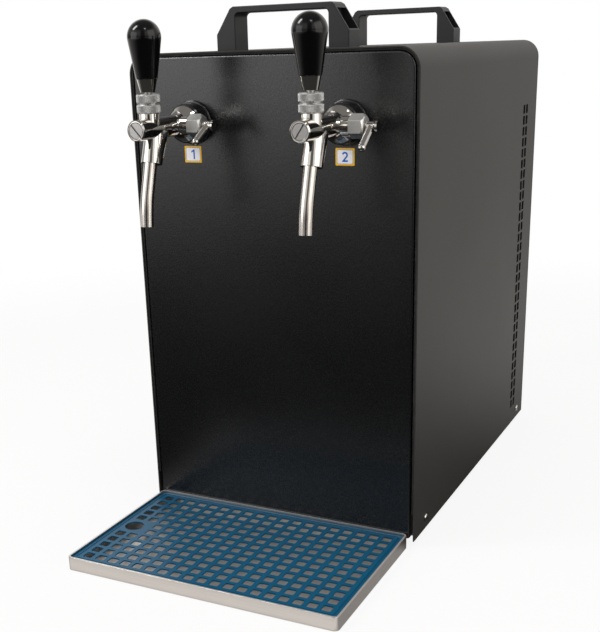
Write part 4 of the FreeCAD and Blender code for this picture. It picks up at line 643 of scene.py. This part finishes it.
def written(text, height, depth, matrix, boldness=0.0):
    """Mesh of a short text, centred on the matrix's origin, facing its +Z."""
    curve = bpy.data.curves.new("numeral", "FONT")
    curve.body = text
    curve.offset = boldness
    curve.resolution_u = 6
    mesh = flattened(linked("numeral", curve))
    bpy.data.curves.remove(curve)
    tall = [v.co.y for v in mesh.vertices]
    wide = [v.co.x for v in mesh.vertices]
    middle = Vector(((min(wide) + max(wide)) / 2, (min(tall) + max(tall)) / 2, 0))
    scale = height / (max(tall) - min(tall))
    work = bmesh.new()
    work.from_mesh(mesh)
    bmesh.ops.remove_doubles(work, verts=work.verts, dist=1e-5)
    bmesh.ops.translate(work, verts=work.verts, vec=-middle)
    bmesh.ops.scale(work, verts=work.verts, vec=(scale, scale, scale))
    made = bmesh.ops.extrude_face_region(work, geom=work.faces[:])
    front = [part for part in made["geom"] if isinstance(part, bmesh.types.BMVert)]
    bmesh.ops.translate(work, verts=front, vec=(0, 0, depth))
    bmesh.ops.recalc_face_normals(work, faces=work.faces)
    work.transform(matrix)
    work.to_mesh(mesh)
    work.free()
    return mesh


class Recipe(Tree):
    """A geometry tree with named inputs that is run once on an empty object."""

    KINDS = {float: "NodeSocketFloat", int: "NodeSocketInt", tuple: "NodeSocketVector"}

    def __init__(self, name, values, material):
        group = bpy.data.node_groups.new(name, "GeometryNodeTree")
        super().__init__(group)
        self.values = {**values, "Material": material}
        for label, value in self.values.items():
            kind = self.KINDS.get(type(value), "NodeSocketMaterial")
            group.interface.new_socket(label, in_out="INPUT", socket_type=kind)
        group.interface.new_socket("Geometry", in_out="OUTPUT", socket_type="NodeSocketGeometry")
        self.source = group.nodes.new("NodeGroupInput")

    def __getitem__(self, label):
        return Link(self, self.source.outputs[label])

    def copies(self, points, shape, turn, scale):
        return self.node("GeometryNodeInstanceOnPoints", None,
                         {"Points": points, "Instance": shape, "Rotation": turn, "Scale": scale})

    def joined_shapes(self, *shapes):
        join = self.nodes.nodes.new("GeometryNodeJoinGeometry")
        for shape in shapes:
            self.nodes.links.new(shape.socket, join.inputs[0])
        return Link(self, join.outputs[0])

    def mesh(self, shape):
        """Ends the tree at shape, runs it and returns the plain mesh."""
        real = self.node("GeometryNodeRealizeInstances", None, {0: shape})
        done = self.node("GeometryNodeSetMaterial", None,
                         {"Geometry": real, "Material": self["Material"]})
        sink = self.nodes.nodes.new("NodeGroupOutput")
        self.feed(sink.inputs["Geometry"], done)
        holder = linked(self.nodes.name, bpy.data.meshes.new(self.nodes.name))
        modifier = holder.modifiers.new(self.nodes.name, "NODES")
        modifier.node_group = self.nodes
        for item in self.nodes.interface.items_tree:
            if item.in_out == "INPUT":
                modifier[item.identifier] = self.values[item.name]
        return flattened(holder)


def knurl_mesh(name, radius, low, high, centre, settings, material):
    """Diamond knurling: small pyramids in staggered rows round a ring."""
    recipe = Recipe(name, {"Radius": radius, "Low": low, "High": high, "Centre": centre,
                           "Columns": settings.knurl_columns, "Rows": settings.knurl_rows,
                           "Depth": settings.knurl_depth}, material)
    columns = recipe["Columns"]
    index = recipe.node("GeometryNodeInputIndex")
    row = (index / columns).floor()
    pitch = (recipe["High"] - recipe["Low"]) / (recipe["Rows"] + 1)
    around = (index % columns + (row % 2) * 0.5) * (2 * math.pi) / columns
    outward = recipe.joined(around.cosine(), around.sine(), 0.0)
    rise = recipe.joined(0.0, 0.0, recipe["Low"] + (row + 1) * pitch)
    spot = recipe.vector("ADD", recipe.scaled(outward, recipe["Radius"]), rise)
    spot = recipe.vector("ADD", spot, recipe["Centre"])
    points = recipe.node("GeometryNodePoints", None, {"Count": columns * recipe["Rows"],
                                                      "Position": spot})
    blunt = 0.12                # flat top of a diamond as a share of its foot
    pyramid = recipe.node("GeometryNodeMeshCone", {"fill_type": "NONE"},
                          {"Vertices": 4, "Radius Top": blunt, "Radius Bottom": 1.0, "Depth": 1.0})
    top = recipe.node("GeometryNodeMeshCircle", {"fill_type": "NGON"},
                      {"Vertices": 4, "Radius": blunt})
    top = recipe.node("GeometryNodeTransform", None, {"Geometry": top, "Translation": (0, 0, 1)})
    diamond = recipe.joined_shapes(pyramid, top)
    turn = recipe.node("FunctionNodeAxesToRotation", {"primary_axis": "Z", "secondary_axis": "X"},
                       {"Primary Axis": outward, "Secondary Axis": (0.0, 0.0, 1.0)})
    half = recipe["Radius"] * math.pi / columns
    scale = recipe.joined(pitch, half, recipe["Depth"])
    return recipe.mesh(recipe.copies(points, diamond, turn, scale))


def scale_marks_mesh(name, radius, centre, settings, material):
    """Marks on the dial's sloping skirt; every fourth one is longer and wider."""
    recipe = Recipe(name, {"Radius": radius, "Centre": centre, "Marks": settings.marks,
                           "Sweep": settings.sweep, "Length": settings.mark_length,
                           "Width": settings.mark_width, "Slope": settings.skirt_slope}, material)
    index = recipe.node("GeometryNodeInputIndex")
    around = (index / (recipe["Marks"] - 1) - 0.5) * recipe["Sweep"]
    outward = recipe.joined(around.sine(), 0.0, around.cosine())
    spot = recipe.vector("ADD", recipe.scaled(outward, recipe["Radius"]), recipe["Centre"])
    points = recipe.node("GeometryNodePoints", None, {"Count": recipe["Marks"], "Position": spot})
    bar = recipe.node("GeometryNodeMeshCube", None, {"Size": ONES})
    down_slope = recipe.joined(around.sine(), -1 * recipe["Slope"], around.cosine())
    turn = recipe.node("FunctionNodeAxesToRotation", {"primary_axis": "Z", "secondary_axis": "Y"},
                       {"Primary Axis": down_slope, "Secondary Axis": (0.0, 1.0, 0.0)})
    major = 1 - (index % 4).ramp(0.4, 0.6)
    scale = recipe.joined(recipe["Width"] * (1 + major * 0.6), PRINT,
                          recipe["Length"] * (0.6 + major * 0.4))
    return recipe.mesh(recipe.copies(points, bar, turn, scale))


# ---- operators
class FinishCabinet(bpy.types.Operator):
    """Coats the casing, panels, base, feet, gasket and screws"""
    bl_idname = "cooler.finish_cabinet"
    bl_label = "Finish cabinet"

    def execute(self, context):
        look = context.scene.cooler_cabinet
        side = powder_coat("casing_coat", look.side_colour, look.side_grain, look.side_depth,
                           rough=0.50, sheen=0.36)
        front = powder_coat("front_coat", look.front_colour, look.front_grain, look.front_depth,
                            rough=0.24, sheen=0.8)
        zinc = satin_metal("zinc_plate", look.zinc_colour, 0.38, grain=0.004)
        steel = bright_metal("screw_steel", look.screw_colour, 0.18)
        put_on(side, "outer_casing", "rear_panel")
        put_on(front, "front_panel")
        put_on(rubber("gasket_rubber", look.rubber_colour), "panel_gasket")
        put_on(rubber("foot_rubber", look.rubber_colour), "rubber_feet", "compressor_grommets")
        put_on(zinc, "base_plate", "fan_shroud")
        put_on(steel, "casing_screws", "rear_screws", "handle_screws", "fan_shaft")
        return {"FINISHED"}


class FinishHandles(bpy.types.Operator):
    """Gives both carrying handles their grained plastic"""
    bl_idname = "cooler.finish_handles"
    bl_label = "Finish handles"

    def execute(self, context):
        look = context.scene.cooler_cabinet
        plastic = moulded("handle_plastic", look.handle_colour, 0.46, grain=0.0011, depth=0.00005)
        put_on(plastic, "handle_front", "handle_rear")
        return {"FINISHED"}


class FinishTaps(bpy.types.Operator):
    """Plates the taps and finishes their knobs, nuts, rosettes and inner parts"""
    bl_idname = "cooler.finish_taps"
    bl_label = "Finish taps"

    def execute(self, context):
        look = context.scene.cooler_taps
        chrome = bright_metal("tap_chrome", look.chrome_colour, 0.045, wave=0.00003)
        spout = bright_metal("spout_steel", look.spout_colour, 0.14, wave=0.00002)
        nut = satin_metal("nut_steel", look.satin_colour, 0.40, grain=0.0010, depth=0.00006)
        knob = moulded("knob_plastic", look.knob_colour, 0.14, grain=0.02, depth=0.0, coat=0.3,
                       sheen=0.25)
        collar = moulded("collar_plastic", look.rosette_colour, 0.22, grain=0.003, depth=0.00002,
                         coat=0.4)
        cone = moulded("cone_plastic", look.cone_colour, 0.4)
        for number in (1, 2):
            put_on(chrome, f"tap_body_{number}", f"lever_ferrule_{number}",
                   f"compensator_lever_{number}")
            put_on(plain("screw_steel"), f"lever_stem_{number}", f"valve_piston_{number}")
            put_on(spout, f"spout_{number}")
            put_on(knob, f"lever_knob_{number}")
            put_on(cone, f"compensator_cone_{number}")
        put_on(chrome, "tap_shanks")
        put_on(turned_face("plug_face", look.plug_colour), "tap_plugs")
        put_on(plain("gasket_rubber"), "tap_seals")
        put_on(satin_metal("nut_brass", look.brass_colour, 0.3), "shank_nuts")
        put_on(collar, "shank_collars")
        eased("compensator_nuts", 0.0003, nut)
        return {"FINISHED"}


class KnurlRings(bpy.types.Operator):
    """Builds the two knurled rings over each tap"""
    bl_idname = "cooler.knurl_rings"
    bl_label = "Knurl rings"

    def execute(self, context):
        look = context.scene.cooler_taps
        steel = plain("knurl_steel")
        low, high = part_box("knurled_rings")
        radius = (high.y - low.y) / 2
        core = radius - look.knurl_depth
        height = (high.z - low.z - look.ring_gap) / 2
        work = bmesh.new()
        for number in (1, 2):
            stem_low, stem_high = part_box(f"lever_stem_{number}")
            middle = (stem_low + stem_high) / 2
            for base, spacer in ((low.z, look.ring_gap), (high.z - height, 0.0)):
                profile = self.ring_profile(look, core, base, base + height, spacer, low.z)
                build = lathe(profile, Vector((middle.x, middle.y, 0)))
                work.from_mesh(mesh_from(build, "ring", smooth_angle=35))
                knurls = knurl_mesh("ring_knurl", core, base + look.ring_edge,
                                    base + height - look.ring_edge, (middle.x, middle.y, 0.0),
                                    look, steel)
                work.from_mesh(knurls)
        mesh = bpy.data.meshes.new("ring_knurling")
        work.to_mesh(mesh)
        work.free()
        add_piece("ring_knurling", mesh, steel, "cabinet", "knurl_steel", "knurled_rings")
        return {"FINISHED"}

    def ring_profile(self, look, core, base, top, spacer, foot):
        """Bevelled ring; a lower ring carries the narrow spacer under the upper one."""
        edge = look.ring_edge
        neck = core - look.ring_neck
        end = top + spacer
        profile = [(core - edge, base), (core, base + edge), (core, top - edge),
                   (core - edge, top)]
        if spacer:
            profile += [(neck, top), (neck, end)]
        for z in (end, base):
            profile.append((look.ring_bore + (z - foot) * look.ring_flare, z))
        return profile


class PrintPlates(bpy.types.Operator):
    """Prints the two number plates"""
    bl_idname = "cooler.print_plates"
    bl_label = "Print plates"

    def execute(self, context):
        look = context.scene.cooler_plates
        put_on(printed("plate_border", look.border_colour, sheen=0.25), "number_plates")
        line = printed("plate_line", look.line_colour, sheen=0.1)
        field = printed("plate_field", look.field_colour)
        ink = printed("plate_ink", look.print_colour, sheen=0.08)
        one = one_outline(look.numeral, look.stroke)
        two = two_outline(look.numeral, look.numeral_width, look.stroke)
        low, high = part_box("number_plates")
        foot = (low.z + high.z - look.numeral) / 2
        for number, left, numeral in ((1, low.x, one), (2, high.x - look.plate_width, two)):
            right = left + look.plate_width
            for name, material, inset, layers in (("line", line, look.border, 1),
                                                  ("field", field, look.border + look.line, 2)):
                outline = rounded_outline(left + inset, right - inset, low.z + inset,
                                          high.z - inset, look.corner + look.border - inset)
                self.print_layer(f"plate_{number}_{name}", material, outline, low.y,
                                 layers * look.layer)
            middle = (left + right) / 2
            outline = [(middle + across, foot + up) for across, up in numeral]
            self.print_layer(f"plate_{number}_numeral", ink, outline, low.y, 3 * look.layer)
        return {"FINISHED"}

    def print_layer(self, name, material, outline, front, thickness):
        build = raised(outline, front - thickness, front)
        add_piece(name, mesh_from(build, name), material, "cabinet", "plate_print")


class FinishTray(bpy.types.Operator):
    """Brushes the drip tray and rounds the grid's edges"""
    bl_idname = "cooler.finish_tray"
    bl_label = "Finish tray"

    def execute(self, context):
        look = context.scene.cooler_tray
        steel = brushed_steel("tray_steel", look.steel_colour, look.brush_pitch, rough=0.30,
                              deck_haze=0.38)
        grid = moulded("grid_plastic", look.grid_colour, 0.34, grain=0.0014, sheen=0.3)
        put_on(steel, "drip_tray")
        eased("drip_grid", look.grid_edge, grid)
        return {"FINISHED"}


class FinishRear(bpy.types.Operator):
    """Finishes the dial, switch, inlet and hose fittings, and prints their marks"""
    bl_idname = "cooler.finish_rear"
    bl_label = "Finish rear fittings"

    def execute(self, context):
        look = context.scene.cooler_rear
        black = moulded("switch_plastic", look.black_colour, 0.42)
        dial = moulded("dial_plastic", look.black_colour, 0.38, grain=0.0012)
        collet = moulded("collet_plastic", look.collet_colour, 0.35)
        rocker = moulded("rocker_plastic", look.rocker_colour, 0.2, grain=0.003, depth=0.00001,
                         coat=0.4)
        white = printed("mark_print", look.mark_colour)
        put_on(black, "thermostat", "switch_housing", "mains_inlet")
        put_on(dial, "thermostat_dial")
        put_on(moulded("fitting_plastic", look.fitting_colour, 0.4), "beer_inlets")
        put_on(collet, "inlet_collet_1", "inlet_collet_2")
        eased("power_rocker", 0.0005, rocker, steps=3)
        self.mark_dial(look, white)
        self.mark_rocker(look, white)
        return {"FINISHED"}

    def mark_dial(self, look, white):
        """Scale on the skirt, numerals inside it and a pointer on the grip."""
        low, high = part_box("thermostat_dial")
        radius = (high.x - low.x) / 2
        rim = low.y + look.skirt - look.skirt_edge * look.skirt_slope
        middle = Vector(((low.x + high.x) / 2, rim, (low.z + high.z) / 2))
        rear = Vector((0, 1, 0))
        on_marks = middle + rear * look.mark_ring * look.skirt_slope
        on_numerals = middle + rear * look.numeral_ring * look.skirt_slope
        marks = scale_marks_mesh("dial_scale", radius - look.mark_ring, tuple(on_marks), look, white)
        add_piece("dial_scale", marks, white, "dial", "dial_plastic")
        for step in range(look.numerals):
            around = (step / (look.numerals - 1) - 0.5) * look.sweep
            outward = Vector((-math.sin(around), 0, math.cos(around)))
            spot = Matrix.Translation(on_numerals + outward * (radius - look.numeral_ring))
            tilt = rear.rotation_difference(rear + outward * look.skirt_slope).to_matrix().to_4x4()
            numeral = written(str(step + 1), look.numeral, PRINT, spot @ tilt @ REARWARD,
                              boldness=0.01)
            add_piece(f"dial_numeral_{step + 1}", numeral, white, "dial", "dial_plastic")
        half = look.pointer_width / 2
        outline = rounded_outline(middle.x - half, middle.x + half, middle.z + look.pointer_foot,
                                  middle.z + radius * look.pointer_reach, half * 0.75)
        build = raised(outline, high.y - PRINT, high.y + PRINT / 4)
        add_piece("dial_pointer", mesh_from(build, "dial_pointer"), white, "dial", "dial_plastic")

    def mark_rocker(self, look, white):
        """A bar on the upper half and a ring on the lower half of the rocker."""
        joint = next(j for j in frame["joints"] if j["name"] == "rocker_press")
        pivot = Matrix.Translation(Vector(joint["pos_m"]))
        for sign, lean, side in (("I", 0.0, 1), ("O", look.sign_lean, -1)):
            face = Matrix.Translation((0, look.sign_lift, side * look.sign_step))
            spot = pivot @ Matrix.Rotation(lean, 4, "X") @ face
            mark = written(sign, look.sign_height, PRINT, spot @ REARWARD)
            add_piece(f"rocker_sign_{sign}", mark, white, "rocker", "rocker_plastic")


class FinishCooling(bpy.types.Operator):
    """Finishes the block, coils, compressor, condenser and fan inside the cabinet"""
    bl_idname = "cooler.finish_cooling"
    bl_label = "Finish cooling circuit"

    def execute(self, context):
        look = context.scene.cooler_cooling
        cast = satin_metal("cast_aluminium", look.block_colour, 0.42, grain=0.0016, depth=0.0001)
        copper = copper_finish("copper_tube", look.copper_colour)
        paint = moulded("compressor_paint", look.enamel_colour, 0.25, grain=0.005)
        iron = satin_metal("motor_iron", look.iron_colour, 0.5, grain=0.002, depth=0.0001)
        put_on(foam_finish("foam", look.foam_colour), "block_insulation")
        put_on(cast, "cooling_block", "fan_blade")
        put_on(brushed_steel("fin_aluminium", look.fin_colour, 0.0012, 0.34), "condenser")
        put_on(copper, "evaporator_coil", "refrigerant_pipes", "filter_drier")
        put_on(bright_metal("coil_steel", look.coil_colour, 0.2), "beer_coil_1", "beer_coil_2")
        put_on(paint, "compressor_shell")
        put_on(iron, "compressor_motor", "fan_motor")
        return {"FINISHED"}


class SetStudio(bpy.types.Operator):
    """Sets the floor, the lamps, the room and the camera"""
    bl_idname = "cooler.set_studio"
    bl_label = "Set studio"

    def execute(self, context):
        look = context.scene.cooler_studio
        self.lay_floor(look)
        self.light_room(context.scene, look)
        self.hang_lamps()
        self.place_camera(context.scene, look)
        context.scene.view_settings.view_transform = "Standard"
        return {"FINISHED"}

    def lay_floor(self, look):
        """A pale floor; to metal it glows as a painted reflection, dark before the cooler, paler at the
        sides and behind it.
        """
        half = look.floor_size / 2
        mesh = bpy.data.meshes.new("studio_floor")
        mesh.from_pydata([(-half, -half, 0), (half, -half, 0), (half, half, 0), (-half, half, 0)],
                         [], [(0, 1, 2, 3)])
        floor = linked("studio_floor", mesh)
        finish = Finish("studio_floor")
        mottle = finish.noise(0.4)
        finish.set(Base_Color=finish.scaled(look.floor_colour, 0.98 + mottle * 0.04), Roughness=0.8)
        # to the camera: the floor's own shade near the cooler, plain white far from it
        far = finish.vector("LENGTH", finish.place).ramp(0.7, 1.4, look.backdrop, 1.0)
        # to metal the floor glows, a painted reflection: pale far aside and behind, and a painted strip
        # of light round the tray's edge that brightens the tray's skirt
        across = finish.axis(finish.place, "X")
        along = finish.axis(finish.place, "Y")
        ahead = self.camera_side(look)
        aside = finish.vector("DOT_PRODUCT", finish.place, (-ahead.y, ahead.x, 0.0)).size()
        wings = aside.ramp(1.2, 2.4, look.floor_dark, look.floor_side)
        behind = along.ramp(0.0, 0.6, 0.0, look.back_light) * across.ramp(0.3, 1.2, 1.0, 0.4)
        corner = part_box("drip_tray")[0]
        beside = (across.size() + corner.x).most(corner.y - along)
        glow = along.ramp(corner.y - 0.005, corner.y + 0.005, look.floor_ahead, look.floor_beside)
        strip = beside.ramp(0.02, 0.06, 1.0, 0.0) * glow * along.ramp(-0.15, -0.12, 1.0, 0.0)
        mirrored = wings.most(behind).most(strip)
        own = Link(finish, finish.shader.outputs[0])
        white = finish.node("ShaderNodeEmission", None, {"Color": ONES, "Strength": 1.0})
        # painted reflection: an emission in the pattern above that only glossy rays see
        room = finish.node("ShaderNodeEmission", None, {"Color": (1.0, 0.97, 0.93),
                                                        "Strength": mirrored})
        lit = finish.node("ShaderNodeMixShader", None, {0: finish.shown() * far, 1: own, 2: white})
        lit = finish.node("ShaderNodeMixShader", None, {0: finish.ray("Glossy"), 1: lit, 2: room})
        finish.feed(finish.nodes.nodes["Material Output"].inputs["Surface"], lit)
        mesh.materials.append(finish.material)

    def light_room(self, scene, look):
        """A white backdrop to the camera; to metal, pale walls with a dark card and ceiling."""
        world = bpy.data.worlds.new("studio_room")
        world.use_nodes = True
        scene.world = world
        tree = Tree(world.node_tree)
        # directions from the cooler: parts of a unit vector, and the cosine to the camera's side
        toward = tree.node("ShaderNodeTexCoord", output="Generated")
        across = tree.axis(toward, "X")
        along = tree.axis(toward, "Y")
        height = tree.axis(toward, "Z")
        heading = tree.vector("NORMALIZE", tree.vector("MULTIPLY", toward, (1.0, 1.0, 0.0)))
        facing = tree.vector("DOT_PRODUCT", heading, tuple(self.camera_side(look)))
        walls = facing.ramp(-0.7, 0.6, look.wall_dark, look.wall_light)
        card = facing.ramp(0.94, 0.985) * look.middle_dark
        walls = walls * (1 - card) * height.ramp(0.0, 0.3, 0.3)
        behind = along.ramp(0.15, 0.5) * across.ramp(0.3, 0.7, 1.0, 0.4)
        walls = walls + behind * (look.back_light - walls)
        mirrored = walls + height.ramp(0.50, 0.80) * (look.ceiling_light - walls)
        shown = tree.shown()
        strength = (look.ambient + shown * (1 - look.ambient)
                    + tree.ray("Glossy") * (mirrored - look.ambient))
        backdrop = world.node_tree.nodes["Background"]
        tree.feed(backdrop.inputs["Color"], tree.mix(shown, (1.0, 0.98, 0.95), ONES))
        tree.feed(backdrop.inputs["Strength"], strength)

    def camera_side(self, look):
        """Level direction from the cooler to the camera's place."""
        return Vector((look.camera_place[0], look.camera_place[1], 0.0)).normalized()

    def hang_lamps(self):
        """A window card and a key strip on the left, a small spot, a softbox and a fill."""
        panel = Vector((-0.05, -0.13, 0.42))
        taps = Vector((0.0, -0.20, 0.42))
        knob = Vector((0.08, -0.20, 0.47))
        whole = Vector((0.0, -0.10, 0.25))
        # name, place, width and depth, watts, what it points at, tint, shown in metal
        lamps = (
            ("window_card", (-0.95, -1.13, 0.70), (1.1, 0.8), 4.0, panel, (0.97, 0.98, 1.0), True),
            ("key_strip", (-0.89, -0.69, 1.5), (0.3, 0.6), 9.0, taps, (1.0, 0.99, 0.98), True),
            ("small_spot", (0.64, -0.89, 1.8), (0.25, 0.25), 1.5, knob, (1.0, 0.98, 0.95), True),
            ("top_softbox", (0.10, 0.10, 1.90), (0.9, 0.9), 12.0, whole, (1.0, 0.98, 0.95), False),
            ("side_fill", (1.60, -0.30, 0.90), (1.5, 1.6), 8.5, whole, (1.0, 0.97, 0.93), True),
        )
        for name, spot, (width, depth), power, aim, tint, mirrored in lamps:
            lamp = bpy.data.lights.new(name, "AREA")
            lamp.shape = "RECTANGLE"
            lamp.size = width
            lamp.size_y = depth
            lamp.energy = power
            lamp.color = tint
            holder = linked(name, lamp)
            holder.visible_glossy = mirrored
            holder.location = spot
            holder.rotation_euler = (Vector(spot) - aim).to_track_quat("Z", "Y").to_euler()

    def place_camera(self, scene, look):
        """A camera that looks down at the cooler from the front right."""
        camera = bpy.data.cameras.new("studio_camera")
        camera.lens = look.camera_lens
        camera.sensor_width = 36.0
        camera.shift_x, camera.shift_y = look.camera_shift
        camera.clip_start = 0.02
        holder = linked("studio_camera", camera)
        holder.location = look.camera_place
        holder.rotation_euler = (look.camera_pitch, look.camera_roll, look.camera_yaw)
        scene.camera = holder


class CoolerPanel(bpy.types.Panel):
    """Lists the steps that finish the cooler"""
    bl_idname = "VIEW3D_PT_cooler"
    bl_label = "Beer cooler"
    bl_space_type = "VIEW_3D"
    bl_region_type = "UI"
    bl_category = "Cooler"

    def draw(self, context):
        for step in STEPS:
            self.layout.operator(step.bl_idname)
        for name in SETTINGS:
            box = self.layout.box()
            group = getattr(context.scene, name)
            for label in group.__annotations__:
                box.prop(group, label)


STEPS = (FinishCabinet, FinishHandles, FinishTaps, KnurlRings, PrintPlates, FinishTray, FinishRear,
         FinishCooling, SetStudio)


def register():
    for group in SETTINGS.values():
        bpy.utils.register_class(group)
    for name, group in SETTINGS.items():
        setattr(bpy.types.Scene, name, PointerProperty(type=group))
    for step in STEPS:
        bpy.utils.register_class(step)
    bpy.utils.register_class(CoolerPanel)


def unregister():
    bpy.utils.unregister_class(CoolerPanel)
    for step in reversed(STEPS):
        bpy.utils.unregister_class(step)
    for name, group in SETTINGS.items():
        delattr(bpy.types.Scene, name)
        bpy.utils.unregister_class(group)


def main():
    register()
    for step in STEPS:
        area, name = step.bl_idname.split(".")
        getattr(getattr(bpy.ops, area), name)()


if __name__ == "__main__":
    main()
